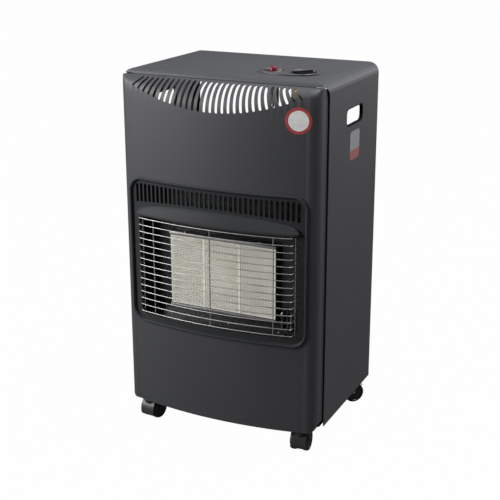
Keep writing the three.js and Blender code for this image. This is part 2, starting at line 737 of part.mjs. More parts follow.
// one slice of the canopy: a thin curved hood that hangs forward over the guard
function canopyLoop(x) {
  const share = (2 * x) / fireWidth;
  const height = canopyMiddle + (canopyEnd - canopyMiddle) * share * share;
  const base = facetY(x) + surroundSink - surroundWall / 2;
  const outer = [];
  const inner = [];
  for (let i = 0; i <= 4; i += 1) {
    const turn = (i / 4) * (Math.PI / 2);
    const reach = canopyReach * Math.sin(turn);
    const rise = height * Math.cos(turn);
    outer.push(new THREE.Vector3(x, base - reach, fireTop + rise));
    inner.push(new THREE.Vector3(x, base - reach * 0.85 + 1.2, fireTop + rise * 0.9 - canopyWall * Math.sin(turn)));
  }
  const low = outer.at(-1).clone();
  low.z -= canopyWall;
  return [...outer, low, ...inner.reverse().slice(1)];
}
function buildSurround() {
  const front = -panelStandOff;
  const rim = alongY(surroundShape(0), front - surroundProud, front - gap, 2);
  const wallOuter = alongY(surroundShape(surroundRim - surroundWall), front - gap - 1, front + surroundSink, 2);
  const hollow = alongY(
    surroundShape(surroundRim), front - surroundProud - 5, front + surroundSink - surroundWall, 2,
  );
  const fireShape = roundedRect(
    fireWidth / 2, (fireTop - fireBottom) / 2, fireCorner, 0, (fireTop + fireBottom) / 2,
  );
  const plain = toSolid(rim).add(toSolid(wallOuter)).subtract(toSolid(hollow));
  const body = slice(toGeometry(plain), 'x', bowColumns);
  let solid = toSolid(bend(body, bowY)).subtract(toSolid(alongY(fireShape, cutFront, cutBack, 2)));
  for (let order = 0; order < louvreCount; order += 1) solid = solid.subtract(toSolid(louvreCutter(order)));
  const half = fireWidth / 2 + 2;
  const canopy = loft(facetPlaces(half).map(canopyLoop));
  add('burner_surround', toGeometry(solid.add(toSolid(canopy))), finishes.surround);
}

// ---------------------------------------------------------------- wire guard
function guardWire(z) {
  const frontY = (x) => faceY(x) - guardProud;
  const endY = guardEndY();
  const points = [new THREE.Vector3(-guardHalf, endY, z)];
  for (const x of spread(-guardHalf + 4, guardHalf - 4, 6)) points.push(new THREE.Vector3(x, frontY(x), z));
  points.push(new THREE.Vector3(guardHalf, endY, z));
  return wireAlong(points);
}
// a four-sided wire mitred through a list of points
function wireAlong(points) {
  const sides = 4;
  const loops = points.map((point, i) => {
    const before = points[Math.max(0, i - 1)];
    const after = points[Math.min(points.length - 1, i + 1)];
    const inWay = point.clone().sub(before).normalize();
    const outWay = after.clone().sub(point).normalize();
    const way = inWay.clone().add(outWay).normalize();
    const up = Math.abs(way.z) > 0.9 ? new THREE.Vector3(1, 0, 0) : new THREE.Vector3(0, 0, 1);
    const across = way.clone().cross(up).normalize();
    const over = across.clone().cross(way).normalize();
    const stretch = 1 / Math.max(0.5, way.dot(i === 0 ? outWay : inWay));
    return spread(0, Math.PI * 2, sides).slice(0, sides).map((turn) => point.clone()
      .addScaledVector(across, Math.cos(turn) * wireRadius * stretch)
      .addScaledVector(over, Math.sin(turn) * wireRadius));
  });
  return rope(loops);
}
// closes a chain of loops with a fan at each end
function rope(loops) {
  const count = loops[0].length;
  const vertices = loops.flat().flatMap((point) => [point.x, point.y, point.z]);
  const index = [];
  for (let row = 0; row + 1 < loops.length; row += 1) {
    for (let i = 0; i < count; i += 1) {
      const a = row * count + i;
      const b = row * count + ((i + 1) % count);
      index.push(a, b, b + count, a, b + count, a + count);
    }
  }
  const last = (loops.length - 1) * count;
  for (let i = 1; i + 1 < count; i += 1) {
    index.push(0, i + 1, i);
    index.push(last, last + i, last + i + 1);
  }
  const geometry = new THREE.BufferGeometry();
  geometry.setAttribute('position', new THREE.Float32BufferAttribute(vertices, 3));
  geometry.setIndex(index);
  return outward(geometry);
}
// the end uprights lie behind the surround's recessed floor
function guardEndY() {
  return faceY(guardHalf) + surroundSink + gap + wireRadius + 0.6;
}
function upright(x, y, z0, z1) {
  return wireAlong([new THREE.Vector3(x, y, z0), new THREE.Vector3(x, y, z1)]);
}
function buildGuard() {
  const wires = [];
  for (let order = 0; order < guardWires; order += 1) wires.push(guardWire(guardBottom + order * guardPitch));
  for (const x of guardUprights) {
    const y = faceY(x) - guardProud + wireRadius * 1.3;
    wires.push(upright(x, y, guardBottom - guardOverrun, guardTop + guardOverrun));
  }
  const endLow = fireBottom - 4;
  const endHigh = fireTop + 4;
  wires.push(upright(-guardHalf, guardEndY(), endLow, endHigh));
  wires.push(upright(guardHalf, guardEndY(), endLow, endHigh));
  add('burner_guard', join(...wires), finishes.chrome);
}

// ---------------------------------------------------------------- burner
function burnerCentreX(order) {
  return (order - (plaqueCount - 1) / 2) * burnerPitch;
}
const burnerHalfHeight = plaqueHeight / 2 + gap + burnerWall + 1;
const burnerFront = -plaqueFront - 0.6;
const burnerBack = burnerFront + burnerDepth;
function buildBurner(order) {
  const x = burnerCentreX(order);
  const half = burnerPitch / 2 - gap / 2;
  const low = burnerCentreZ - burnerHalfHeight;
  const high = burnerCentreZ + burnerHalfHeight;
  const pocketHalf = plaqueWidth / 2 + gap;
  const pocketHeight = plaqueHeight / 2 + gap;
  const ledge = -plaqueFront + plaqueThick + gap;
  const body = block(x - half, x + half, burnerFront, burnerBack, low, high);
  const pocket = block(
    x - pocketHalf, x + pocketHalf, burnerFront - 5, ledge,
    burnerCentreZ - pocketHeight, burnerCentreZ + pocketHeight,
  );
  const plenum = block(
    x - pocketHalf + plenumInset, x + pocketHalf - plenumInset, ledge - 1, burnerBack - burnerWall,
    burnerCentreZ - pocketHeight + plenumInset, burnerCentreZ + pocketHeight - plenumInset,
  );
  const mixerY = manifoldY;
  const mixer = cylinder(mixerRadius, x, mixerY, low - mixerLength, low + 1, 16);
  const bore = cylinder(mixerBore, x, mixerY, low - mixerLength - 5, low + burnerWall + 5, 16);
  const whole = cut(join(body, mixer), pocket, plenum, bore);
  add(`burner_body_${order + 1}`, whole, finishes.galvanised);
  const plaque = block(
    x - plaqueWidth / 2, x + plaqueWidth / 2, -plaqueFront, -plaqueFront + plaqueThick,
    burnerCentreZ - plaqueHeight / 2, burnerCentreZ + plaqueHeight / 2,
  );
  add(`ceramic_plaque_${order + 1}`, plaque, finishes.ceramic);
}
// folded strips that hold the row of burners together above and below
function buildRetainer(name, side) {
  const half = burnerRowHalf;
  const seat = burnerCentreZ + side * (burnerHalfHeight + gap);
  const far = seat + side * retainerHeight;
  const flangeFar = seat + side * burnerWall;
  const front = burnerFront - gap - burnerWall;
  const strip = block(-half, half, front, burnerBack, Math.min(seat, flangeFar), Math.max(seat, flangeFar));
  const lipNear = seat - side * (burnerWall + gap);
  const lip = block(-half, half, front, front + burnerWall, Math.min(lipNear, far), Math.max(lipNear, far));
  let body = join(strip, lip);
  if (side < 0) {
    for (let order = 0; order < plaqueCount; order += 1) {
      body = cut(body, cylinder(mixerRadius + 1, burnerCentreX(order), manifoldY, seat - 10, seat + 10, 16));
    }
  }
  add(name, body, finishes.chrome);
}
// the dark box round the burners, its upper and lower walls bowed to meet the surround
function buildReflector() {
  const back = -reflectorBack;
  const walls = new THREE.Shape();
  walls.moveTo(-reflectorHalf, back);
  for (const x of facetPlaces(reflectorHalf)) walls.lineTo(x, facetY(x) + surroundSink + gap);
  walls.lineTo(reflectorHalf, back);
  const full = alongZ(walls, reflectorBottom, reflectorTop);
  const room = block(
    -reflectorHalf + sheet, reflectorHalf - sheet, cutFront, back - sheet,
    reflectorBottom + sheet, reflectorTop - sheet,
  );
  const holeHalf = burnerRowHalf + reflectorHole;
  const holeHeight = burnerHalfHeight + retainerHeight + reflectorHole;
  const hole = block(
    -holeHalf, holeHalf, -20, 20, burnerCentreZ - holeHeight, burnerCentreZ + holeHeight,
  );
  const pilotHole = block(pilotX - 10, pilotX + 15, -20, 20, pilotZ - 24, pilotZ + 6);
  add('burner_reflector', cut(full, room, hole, pilotHole), finishes.blackSteel);
}

// ---------------------------------------------------------------- pilot
function buildPilot() {
  const plateZ = pilotZ - 4;
  const [jetX, probeX, sparkX] = [pilotX - 6, pilotX + 4, pilotX + 12];
  const seat = -reflectorBack - sheet - gap;
  const x0 = pilotX - pilotPlate * 0.4;
  const x1 = x0 + pilotPlate;
  const plate = block(x0, x1, pilotY - 8, seat, plateZ, plateZ + burnerWall);
  const holder = block(x0, x1, seat - burnerWall, seat, plateZ, plateZ + pilotPlate * 0.85);
  const clear = (x, radius) => cylinder(radius + gap, x, pilotY, plateZ - 5, plateZ + 5, 12);
  const holderRoom = block(x0 + 6, x1 - 6, -20, 20, plateZ + 5, plateZ + 14);
  add(
    'pilot_bracket',
    cut(
      join(plate, holder), clear(jetX, pilotJet), clear(probeX, pilotProbe), clear(sparkX, pilotSpark), holderRoom,
    ),
    finishes.blackSteel,
  );
  const jet = turned([
    [0, -pilotFoot], [pilotJet, -pilotFoot], [pilotJet, 10], [pilotJet + 1.5, 10],
    [pilotJet + 1.5, 18], [pilotJet - 1, 22], [0, 22],
  ], 12);
  add('pilot_burner', jet, finishes.blackSteel).position.set(jetX, pilotY, plateZ);
  const probe = turned([[0, -pilotFoot], [pilotProbe, -pilotFoot], [pilotProbe, 26], [0, 28]], 10);
  add('thermocouple', probe, finishes.galvanised).position.set(probeX, pilotY, plateZ);
  const tip = pilotSpark * 0.3;
  const spark = turned([
    [0, -pilotFoot], [pilotSpark, -pilotFoot], [pilotSpark, 12], [tip, 12], [tip, 24], [0, 24],
  ], 10);
  add('spark_electrode', spark, finishes.white).position.set(sparkX, pilotY, plateZ);
}

// ---------------------------------------------------------------- gas train
function buildManifold() {
  const rail = cylinderX(manifoldRadius, -manifoldHalf, manifoldHalf, manifoldY, manifoldZ, 12);
  const seats = [];
  for (let order = 0; order < plaqueCount; order += 1) {
    seats.push(cylinder(injectorRadius + 1, burnerCentreX(order), manifoldY, manifoldZ, manifoldZ + 7, 12));
  }
  add('gas_manifold', join(rail, ...seats), finishes.brass);
  for (let order = 0; order < plaqueCount; order += 1) {
    const nozzle = turned(
      [[0, 0], [injectorRadius, 0], [injectorRadius, 6], [2.5, injectorLength], [0, injectorLength]], 6,
    );
    const place = add(`injector_${order + 1}`, nozzle, finishes.brass);
    place.position.set(burnerCentreX(order), manifoldY, manifoldZ + 7 + gap);
  }
}
function point(x, y, z) {
  return new THREE.Vector3(x, y, z);
}
function buildPipes() {
  const valveLow = blockTopZ - valveHeight - gap;
  const fallY = shieldY - pipeShieldGap;
  const overZ = shieldTop + 2 * pipeBend;
  const mainX = knobX + pipeAside;
  const main = tube([
    point(knobX + pipeTap, controlY, valveLow), point(knobX + pipeTap, controlY, valveLow - pipeBend),
    point(mainX - pipeBend / 2, shieldY + pipeBend, overZ - 2), point(mainX, shieldY - pipeBend / 2, shieldTop + 6),
    point(mainX, fallY, shieldTop - 2 * pipeBend), point(mainX, fallY, burnerCentreZ + 3 * pipeBend),
    point(mainX, fallY, manifoldZ + 2 * pipeBend), point(mainX - pipeBend / 2, manifoldY + 2, manifoldZ + pipeRadius + 2),
    point(manifoldHalf + pipeBend, manifoldY, manifoldZ), point(manifoldHalf + gap, manifoldY, manifoldZ),
  ], pipeRadius, 6, 20);
  add('gas_pipe_main', main, finishes.copper);
  const jetX = pilotX - 6;
  const jetLow = pilotZ - 4 - pilotFoot - gap;
  const sideX = knobX + pilotPipeAside;
  const feed = tube([
    point(knobX - pipeTap, controlY, valveLow), point(knobX - pipeTap, controlY, valveLow - pipeBend),
    point(sideX - pipeBend / 3, shieldY + pipeBend, overZ - pipeBend / 2),
    point(sideX, shieldY - pipeBend / 2, shieldTop + 4), point(sideX, fallY - 2, shieldTop - 2 * pipeBend),
    point(sideX, fallY - 2, burnerCentreZ + 3 * pipeBend), point(sideX, fallY - 2, jetLow + 2 * pipeBend),
    point(jetX + pipeBend * 0.7, 3, jetLow + 3), point(jetX + pipeTap, -7, jetLow - 5),
    point(jetX, pilotY, jetLow - 5), point(jetX, pilotY, jetLow),
  ], pilotPipeRadius, 6, 26);
  add('gas_pipe_pilot', feed, finishes.copper);
}
function buildHoseTail() {
  const start = valveBlock / 2 + gap;
  const profile = [[0, 0], [9, 0], [9, 8], [4.5, 8]];
  for (let barb = 0; barb < 4; barb += 1) {
    profile.push([5.6, 10 + barb * 7], [4.4, 15 + barb * 7]);
  }
  profile.push([4, 38], [0, 38]);
  const tail = turned(profile, 12).rotateX(-Math.PI / 2);
  const place = add('hose_tail', tail, finishes.brass);
  place.position.set(knobX, controlY + start, blockTopZ - valveHeight / 2);
}

// ---------------------------------------------------------------- controls
function buildBracket() {
  const wellClear = wellWall + 3;
  const x0 = buttonX - buttonWell / 2 - wellClear;
  const x1 = knobX + knobWell / 2 + wellClear;
  const y0 = controlY - bracketHalf;
  const y1 = controlY + bracketHalf;
  const plate = block(x0, x1, y0, y1, bracketZ, bracketZ + sheet);
  const high = topZ - sheet - gap;
  const left = block(x0, x0 + sheet, y0, y1, bracketZ, high);
  const right = block(x1 - sheet, x1, y0, y1, bracketZ, high);
  const holes = [buttonX, knobX].map((x) => cylinder(neckRadius + gap, x, controlY, bracketZ - 5, bracketZ + 5));
  add('control_bracket', cut(join(plate, left, right), ...holes), finishes.galvanised);
}
function buildValve() {
  const low = blockTopZ - valveHeight;
  const half = valveBlock / 2;
  const body = block(knobX - half, knobX + half, controlY - half, controlY + half, low + 6, blockTopZ);
  const foot = cylinder(half - 3, knobX, controlY, low, low + 7, 16);
  const neck = cylinder(neckRadius, knobX, controlY, blockTopZ - 1, neckTopZ);
  const boreLow = blockTopZ - 24;
  const plugTop = boreLow + gap + 12;
  const chamber = cylinder(boreRadius, knobX, controlY, boreLow, plugTop + pushTravel + 3);
  const guide = cylinder(spindleRadius + gap, knobX, controlY, plugTop, neckTopZ + 5, 20);
  add('valve_body', cut(join(body, foot, neck), chamber, guide), finishes.brass);
  const plug = cut(
    cylinder(plugRadius, knobX, controlY, boreLow + gap, plugTop),
    cylinder(2, knobX, controlY, boreLow + 4, plugTop + 5, 8),
  );
  add('valve_plug', plug, finishes.brass);
  const spindleTop = wellFloorZ + gap + pushTravel + knobHeight - 4;
  const spindle = cut(
    cylinder(spindleRadius, knobX, controlY, plugTop + pushTravel + gap + 0.5, spindleTop, 20),
    block(knobX + spindleRadius - 1, knobX + 9, controlY - 9, controlY + 9, spindleTop - 8, spindleTop + 5),
  );
  add('valve_spindle', spindle, finishes.galvanised);
}
// the knob: a skirted disc with a raised grip across it
function buildKnob() {
  const low = wellFloorZ + gap + pushTravel;
  const radius = knobDiameter / 2;
  const disc = turned([
    [0, 0], [radius, 0], [radius, 4], [radius - 2, 7], [radius - 8, 8.5], [0, 8.5],
  ], 28);
  const grip = block(-radius + 2.5, radius - 2.5, -gripWidth / 2, gripWidth / 2, 7, knobHeight);
  const rounded = common(grip, cylinder(radius - 2.5, 0, 0, 0, knobHeight + 1, 28));
  const bore = cylinder(spindleRadius + gap, 0, 0, -5, knobHeight - 4 + gap, 20);
  const knob = cut(join(disc, rounded), bore);
  const place = add('control_knob', knob, finishes.blackPlastic);
  place.position.set(knobX, controlY, low);
  place.rotation.z = THREE.MathUtils.degToRad(gripAngle);
}
function buildPiezo() {
  const low = blockTopZ - piezoHeight;
  const body = cylinder(piezoRadius, buttonX, controlY, low, blockTopZ);
  const neck = cylinder(neckRadius, buttonX, controlY, blockTopZ - 1, neckTopZ);
  const terminal = block(buttonX - 1, buttonX + 1, controlY - 3.2, controlY + 3.2, low - 8, low + 1);
  const boreLow = low + 14;
  const bore = cylinder(boreRadius, buttonX, controlY, boreLow, neckTopZ + 5);
  add('piezo_body', cut(join(body, neck, terminal), bore), finishes.white);
  const headLow = neckTopZ + gap + buttonTravel + 0.4;
  const head = turned([
    [0, 0], [buttonDiameter / 2, 0], [buttonDiameter / 2, buttonHeight - 3],
    [buttonDiameter / 2 - 1.2, buttonHeight - 0.8], [buttonDiameter / 4, buttonHeight], [0, buttonHeight],
  ], 24);
  head.translate(0, 0, headLow);
  const stemLow = boreLow + buttonTravel + 1;
  const stem = cylinder(plugRadius, 0, 0, stemLow, headLow + 1);
  add('piezo_button', join(head, stem), finishes.redPlastic).position.set(buttonX, controlY, 0);
}
// the oval plate with a round well for the knob and one for the button
function buildControlPlate() {
  const seat = topZ + gap;
  const plate = alongZ(oval(plateLength / 2, plateDepth / 2, controlX, controlY), seat, seat + plateThick, 14);
  const floor = wellFloorZ - wellWall;
  const cups = controlWells.map(([x, size]) => cylinder(size / 2 + wellWall, x, controlY, floor, seat + 1, 24));
  const hollows = controlWells.map(([x, size]) => cylinder(size / 2, x, controlY, wellFloorZ, seat + 20, 24));
  const holes = controlWells.map(([x]) => cylinder(buttonDiameter / 2 + 0.6, x, controlY, floor - 5, seat, 16));
  add('control_plate', cut(join(plate, ...cups), ...hollows, ...holes), finishes.greyPlastic);
}

// ---------------------------------------------------------------- inside sheets
function buildHeatShield() {
  const low = trayZ + sheet + gap;
  const half = halfWidth - sheet - 3;
  const plate = block(-half, half, shieldY, shieldY + sheet, low, shieldTop);
  const flanges = [-1, 1].map((side) => block(
    Math.min(side * half, side * (half - sheet)), Math.max(side * half, side * (half - sheet)),
    shieldY, shieldY + shieldFlange, low, shieldTop,
  ));
  const foot = block(-half + 30, half - 30, shieldY, shieldY + shieldFlange, low, low + sheet);
  add('heat_shield', join(plate, ...flanges, foot), finishes.galvanised);
}
// a sloping sheet above the burner that turns the warm air towards the front vents
function buildDeflector() {
  const shape = new THREE.Shape();
  const foot = shieldTop - deflectorLap;
  const y = shieldY - gap;
  const tip = shieldY - deflectorReach;
  shape.moveTo(y, foot);
  shape.lineTo(y - sheet, foot);
  shape.lineTo(y - sheet, shieldTop - 4);
  shape.lineTo(tip, shieldTop + deflectorRise);
  shape.lineTo(tip + 1, shieldTop + deflectorRise + sheet);
  shape.lineTo(y, shieldTop - 3);
  add('flue_deflector', alongX(shape, -deflectorSide, knobX - deflectorPipeGap), finishes.galvanised);
}
function buildBurnerBracket(name, side) {
  const near = burnerRowHalf + gap;
  const far = near + armLength;
  const back = shieldY - gap;
  const ends = [side * near, side * far];
  const x0 = Math.min(...ends);
  const x1 = Math.max(...ends);
  const wallX = side > 0 ? [x0, x0 + sheet] : [x1 - sheet, x1];
  const low = burnerCentreZ - armHalfHeight;
  const high = burnerCentreZ + armHalfHeight;
  const arm = block(wallX[0], wallX[1], -2, back, low, high);
  const footEnds = side > 0 ? [x0, x1 - armFoot] : [x0 + armFoot, x1];
  const foot = block(...footEnds, back - sheet, back, low, high);
  add(name, join(arm, foot), finishes.galvanised);
}

// ---------------------------------------------------------------- base tray
function trayPlan() {
  const half = halfWidth - sheet - traySeatGap;
  const narrow = panelHalf - sheet - gap - 0.3;
  const rear = cabinetDepth - sheet - gap - 0.2;
  const inner = coverFlatHalf - 6;
  const deep = cabinetDepth + coverBulge - sheet - 3;
  const shape = new THREE.Shape();
  shape.moveTo(-half, rear);
  shape.lineTo(-half, panelTuck + 2);
  shape.lineTo(-narrow, panelTuck + 2);
  shape.lineTo(-narrow, -8);
  shape.lineTo(-panelFlatHalf + 4, -panelStandOff + 5);
  shape.quadraticCurveTo(0, -panelStandOff - panelBow * 2 + 8, panelFlatHalf - 4, -panelStandOff + 5);
  shape.lineTo(narrow, -8);
  shape.lineTo(narrow, panelTuck + 2);
  shape.lineTo(half, panelTuck + 2);
  shape.lineTo(half, rear);
  shape.lineTo(coverShoulder - 8, rear);
  shape.lineTo(inner, deep);
  shape.lineTo(-inner, deep);
  shape.lineTo(-coverShoulder + 8, rear);
  return shape;
}
function castorPlaces() {
  return [
    ['front_left', -castorX, castorFrontY],
    ['front_right', castorX, castorFrontY],
    ['rear_left', -castorX, castorRearY],
    ['rear_right', castorX, castorRearY],
  ];
}
const socketOuter = stemRadius + gap + socketWall;
function buildTray() {
  const floor = alongZ(trayPlan(), trayZ, trayZ + sheet, 8);
  const half = halfWidth - sheet - traySeatGap;
  const rear = cabinetDepth - sheet - gap - 0.2;
  const rims = [-1, 1].map((side) => block(
    Math.min(side * half, side * (half - sheet)), Math.max(side * half, side * (half - sheet)),
    panelTuck + 2, rear, trayZ, trayZ + trayRim,
  ));
  const holes = castorPlaces().map(([, x, y]) => cylinder(socketOuter + gap, x, y, trayZ - 5, trayZ + 8, 12));
  const vents = [-trayVentPitch, 0, trayVentPitch].map((x) => alongZ(
    roundedRect(trayVentLength / 2, trayVentWidth / 2, trayVentWidth / 2 - 0.1, x, (shieldY + cabinetDepth) / 2),
    trayZ - 5, trayZ + 5, 1,
  ));
  add('base_tray', cut(join(floor, ...rims), ...holes, ...vents), finishes.casing);
}

// ---------------------------------------------------------------- rear cover
function buildRearCover() {
  const seat = cabinetDepth + gap;
  const deep = cabinetDepth + coverBulge;
  const low = floorGap + coverLift;
  const slant = sheet * 1.15;
  const shape = new THREE.Shape();
  shape.moveTo(-coverFlangeHalf, seat);
  shape.lineTo(-coverShoulder, seat);
  shape.lineTo(-coverFlatHalf, deep - sheet);
  shape.lineTo(coverFlatHalf, deep - sheet);
  shape.lineTo(coverShoulder, seat);
  shape.lineTo(coverFlangeHalf, seat);
  shape.lineTo(coverFlangeHalf, seat + sheet);
  shape.lineTo(coverShoulder + slant, seat + sheet);
  shape.lineTo(coverFlatHalf + slant, deep);
  shape.lineTo(-coverFlatHalf - slant, deep);
  shape.lineTo(-coverShoulder - slant, seat + sheet);
  shape.lineTo(-coverFlangeHalf, seat + sheet);
  let body = alongZ(shape, low, coverTop);
  for (let order = 0; order < coverVents; order += 1) {
    const x = (order - (coverVents - 1) / 2) * coverVentPitch;
    for (const z of [low + coverVentInset, coverTop - coverVentInset]) {
      const vent = roundedRect(coverVentWidth / 2, coverVentLength / 2, coverVentWidth / 2 - 0.1, x, z);
      body = cut(body, alongY(vent, deep - 10, deep + 10, 1));
    }
  }
  add('rear_cover', body, finishes.casing);
}

// ---------------------------------------------------------------- castors
function wheelGeometry() {
  const half = wheelWidth / 2;
  return turned([
    [wheelBore, -half], [wheelRadius - 3, -half], [wheelRadius, -half + 3], [wheelRadius, half - 4],
    [wheelRadius - 3, half], [wheelRadius - 5, half - 1.5], [wheelBore, half - 1.5], [wheelBore, -half],
  ], 16);
}
function hoodGeometry() {
  const outer = wheelRadius + hoodGap + hoodWall;
  const inner = wheelRadius + hoodGap;
  const halfWidthOver = webThick / 2 + gap + wheelWidth - 2;
  const from = THREE.MathUtils.degToRad(hoodFrom);
  const to = THREE.MathUtils.degToRad(hoodTo);
  const cover = new THREE.Shape();
  cover.absarc(0, 0, outer, from, to);
  cover.absarc(0, 0, inner, to, from, true);
  const web = new THREE.Shape();
  web.absarc(0, 0, inner + 0.5, from, to);
  web.lineTo(0, -7);
  web.lineTo(6, -2);
  const shell = alongX(cover, -halfWidthOver, halfWidthOver, 5);
  const middle = alongX(web, -webThick / 2, webThick / 2, 5);
  const topOfBoss = floorGap + trayLift - gap - socketPlate - gap - wheelRadius;
  const boss = cylinder(stemRadius + 5, 0, -castorTrail, 14, topOfBoss, 12);
  const bossTrim = cylinderX(inner, -40, 40, 0, 0, 24);
  const stem = cylinder(stemRadius, 0, -castorTrail, topOfBoss - 1, topOfBoss + stemHeight, 12);
  const shank = cut(join(boss, stem), cut(bossTrim, block(-webThick / 2, webThick / 2, -40, 40, -40, 40)));
  const hole = cylinderX(axleRadius + gap, -40, 40, 0, 0, 12);
  return cut(join(shell, middle, shank), hole);
}
function buildCastor([name, x, y]) {
  const socketLow = trayZ - gap - socketPlate;
  const socket = cut(
    join(
      cylinder(socketFlange, x, y, socketLow, socketLow + socketPlate, 12),
      cylinder(socketOuter, x, y, socketLow, trayZ + stemHeight, 12),
    ),
    cylinder(stemRadius + gap, x, y, socketLow - 5, trayZ + stemHeight - 1.5, 12),
  );
  add(`castor_socket_${name}`, socket, finishes.blackPlastic);
  const swivel = new THREE.Group();
  swivel.position.set(x, y, 0);
  swivel.rotation.z = THREE.MathUtils.degToRad(castorTurns[name]);
  heater.add(swivel);
  const axle = new THREE.Group();
  axle.position.set(0, castorTrail, wheelRadius);
  swivel.add(axle);
  add(`castor_hood_${name}`, hoodGeometry(), finishes.greyPlastic, axle);
  const axleHalf = webThick / 2 + gap + wheelWidth - 2;
  add(`castor_axle_${name}`, cylinderX(axleRadius, -axleHalf, axleHalf, 0, 0, 12), finishes.galvanised, axle);
  for (const [label, side] of [['a', -1], ['b', 1]]) {
    const wheel = wheelGeometry().rotateY((side * Math.PI) / 2);
    const place = add(`castor_wheel_${name}_${label}`, wheel, finishes.rubber, axle);
    place.position.x = side * (webThick / 2 + gap + wheelWidth / 2);
  }
}

// ---------------------------------------------------------------- assembly
buildShell();
buildHandleTrim('handle_trim_right', 1);
buildHandleTrim('handle_trim_left', -1);
buildFrontPanel();
buildSurround();
buildGuard();
for (let order = 0; order < plaqueCount; order += 1) buildBurner(order);
buildRetainer('burner_rail_top', 1);
buildRetainer('burner_rail_bottom', -1);
buildReflector();
buildPilot();
buildManifold();
buildPipes();
buildHoseTail();
buildBracket();
buildValve();
buildKnob();
buildPiezo();
buildControlPlate();
buildHeatShield();
buildDeflector();
buildBurnerBracket('burner_bracket_right', 1);
buildBurnerBracket('burner_bracket_left', -1);
buildTray();
buildRearCover();
castorPlaces().forEach(buildCastor);

// the footprint runs from the guard's wires to the back of the rear cover
const frontReach = panelStandOff + panelBow + guardProud + wireRadius;
const rearReach = cabinetDepth + coverBulge;
heater.position.y = (frontReach - rearReach) / 2;

const root = new THREE.Group();
root.add(heater);
export default root;
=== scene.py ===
from itertools import accumulate
from math import copysign, cos, pi, radians, sin, sqrt

import bpy
from mathutils import Matrix, Vector


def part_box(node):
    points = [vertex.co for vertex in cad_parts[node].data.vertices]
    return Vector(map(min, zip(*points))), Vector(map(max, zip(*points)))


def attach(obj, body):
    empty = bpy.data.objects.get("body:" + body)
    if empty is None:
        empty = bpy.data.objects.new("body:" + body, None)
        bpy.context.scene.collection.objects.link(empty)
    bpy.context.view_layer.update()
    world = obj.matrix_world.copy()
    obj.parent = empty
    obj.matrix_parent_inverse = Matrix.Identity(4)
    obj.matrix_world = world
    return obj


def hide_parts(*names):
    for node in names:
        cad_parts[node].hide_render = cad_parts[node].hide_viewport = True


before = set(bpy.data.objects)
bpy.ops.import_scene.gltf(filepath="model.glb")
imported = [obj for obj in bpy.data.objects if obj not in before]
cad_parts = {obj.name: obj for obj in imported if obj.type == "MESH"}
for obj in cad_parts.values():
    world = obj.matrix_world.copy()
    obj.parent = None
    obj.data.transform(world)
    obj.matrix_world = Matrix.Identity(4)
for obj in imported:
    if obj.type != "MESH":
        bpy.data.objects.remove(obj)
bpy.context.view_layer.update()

scene = bpy.context.scene
scene.view_settings.view_transform = "Standard"


# nodes and materials: short ways of making them

def feed(tree, socket, value):
    # sets a number or a colour on the socket, or links another node's output to it
    if isinstance(value, (int, float, tuple)):
        socket.default_value = value
    else:
        tree.links.new(value, socket)


def addNode(tree, kind, inputs=(), **settings):
    node = tree.nodes.new(kind)
    for key, value in settings.items():
        setattr(node, key, value)
    for label, value in dict(inputs).items():
        feed(tree, node.inputs[label], value)
    return node


def mathNode(tree, operation, *values):
    return addNode(tree, "ShaderNodeMath", enumerate(values), operation=operation).outputs[0]


def startMaterial(name, **plain):
    # a material and its shader, on whose own sockets the plain values stand
    material = bpy.data.materials.new(name)
    material.use_nodes = True
    shader = material.node_tree.nodes["Principled BSDF"]
    for label, value in plain.items():
        shader.inputs[label.replace("_", " ")].default_value = value
    return material, shader


# camera, floor and light

viewpoint = {
    "place": (0.8979, -1.8787, 1.0453),
    "azimuth": 24.88,  # degrees round from the front, towards the heater's right side
    "elevation": 17.40,  # degrees above level
    "roll": 0.11,
    "lens": 76.70,
    "sensor": 36.0,
    "shift": (-0.0296, -0.0374),
}


def placeCamera():
    lens = bpy.data.cameras.new("photoCamera")
    lens.sensor_width = viewpoint["sensor"]
    lens.lens = viewpoint["lens"]
    lens.shift_x, lens.shift_y = viewpoint["shift"]
    lens.clip_end = 200.0
    camera = bpy.data.objects.new("photoCamera", lens)
    scene.collection.objects.link(camera)
    turn = Matrix.Rotation(radians(viewpoint["azimuth"]), 4, "Z")
    tilt = Matrix.Rotation(radians(90 - viewpoint["elevation"]), 4, "X")
    roll = Matrix.Rotation(radians(viewpoint["roll"]), 4, "Z")
    camera.matrix_world = Matrix.Translation(viewpoint["place"]) @ turn @ tilt @ roll
    scene.camera = camera


studio = {
    "floorSize": 60.0,
    "floorTone": (0.08, 0.08, 0.08, 1.0),
    "floorRoughness": 0.9,
    "floorGloss": 0.1,
    "shadowKeep": 0.012,  # how much of the heater's shadow the white floor still shows
    "mirroredFloor": 0.07,  # brightness of the floor as glossy surfaces see it
    "worldTone": (0.072, 0.074, 0.08, 1.0),
    "lamps": [
        # name, place, aimed at, size, power
        ("softboxFront", (-1.5, -1.65, 1.15), (0.0, 0.0, 0.85), (0.9, 0.9), 43.0),
        ("softboxLeft", (-1.5, -0.75, 1.25), (0.0, 0.0, 0.9), (0.7, 0.7), 20.0),
        ("softboxTop", (0.85, 0.1, 2.5), (0.1, 0.0, 0.6), (1.0, 1.0), 93.0),
        ("softboxRear", (1.6, 3.1, 1.2), (0.0, 0.1, 0.4), (1.6, 1.4), 24.0),
    ],
}


def mixSurfaces(tree, leaving, *values):
    mix = addNode(tree, "ShaderNodeMixShader", enumerate(values))
    tree.links.new(mix.outputs["Shader"], tree.nodes[leaving].inputs["Surface"])


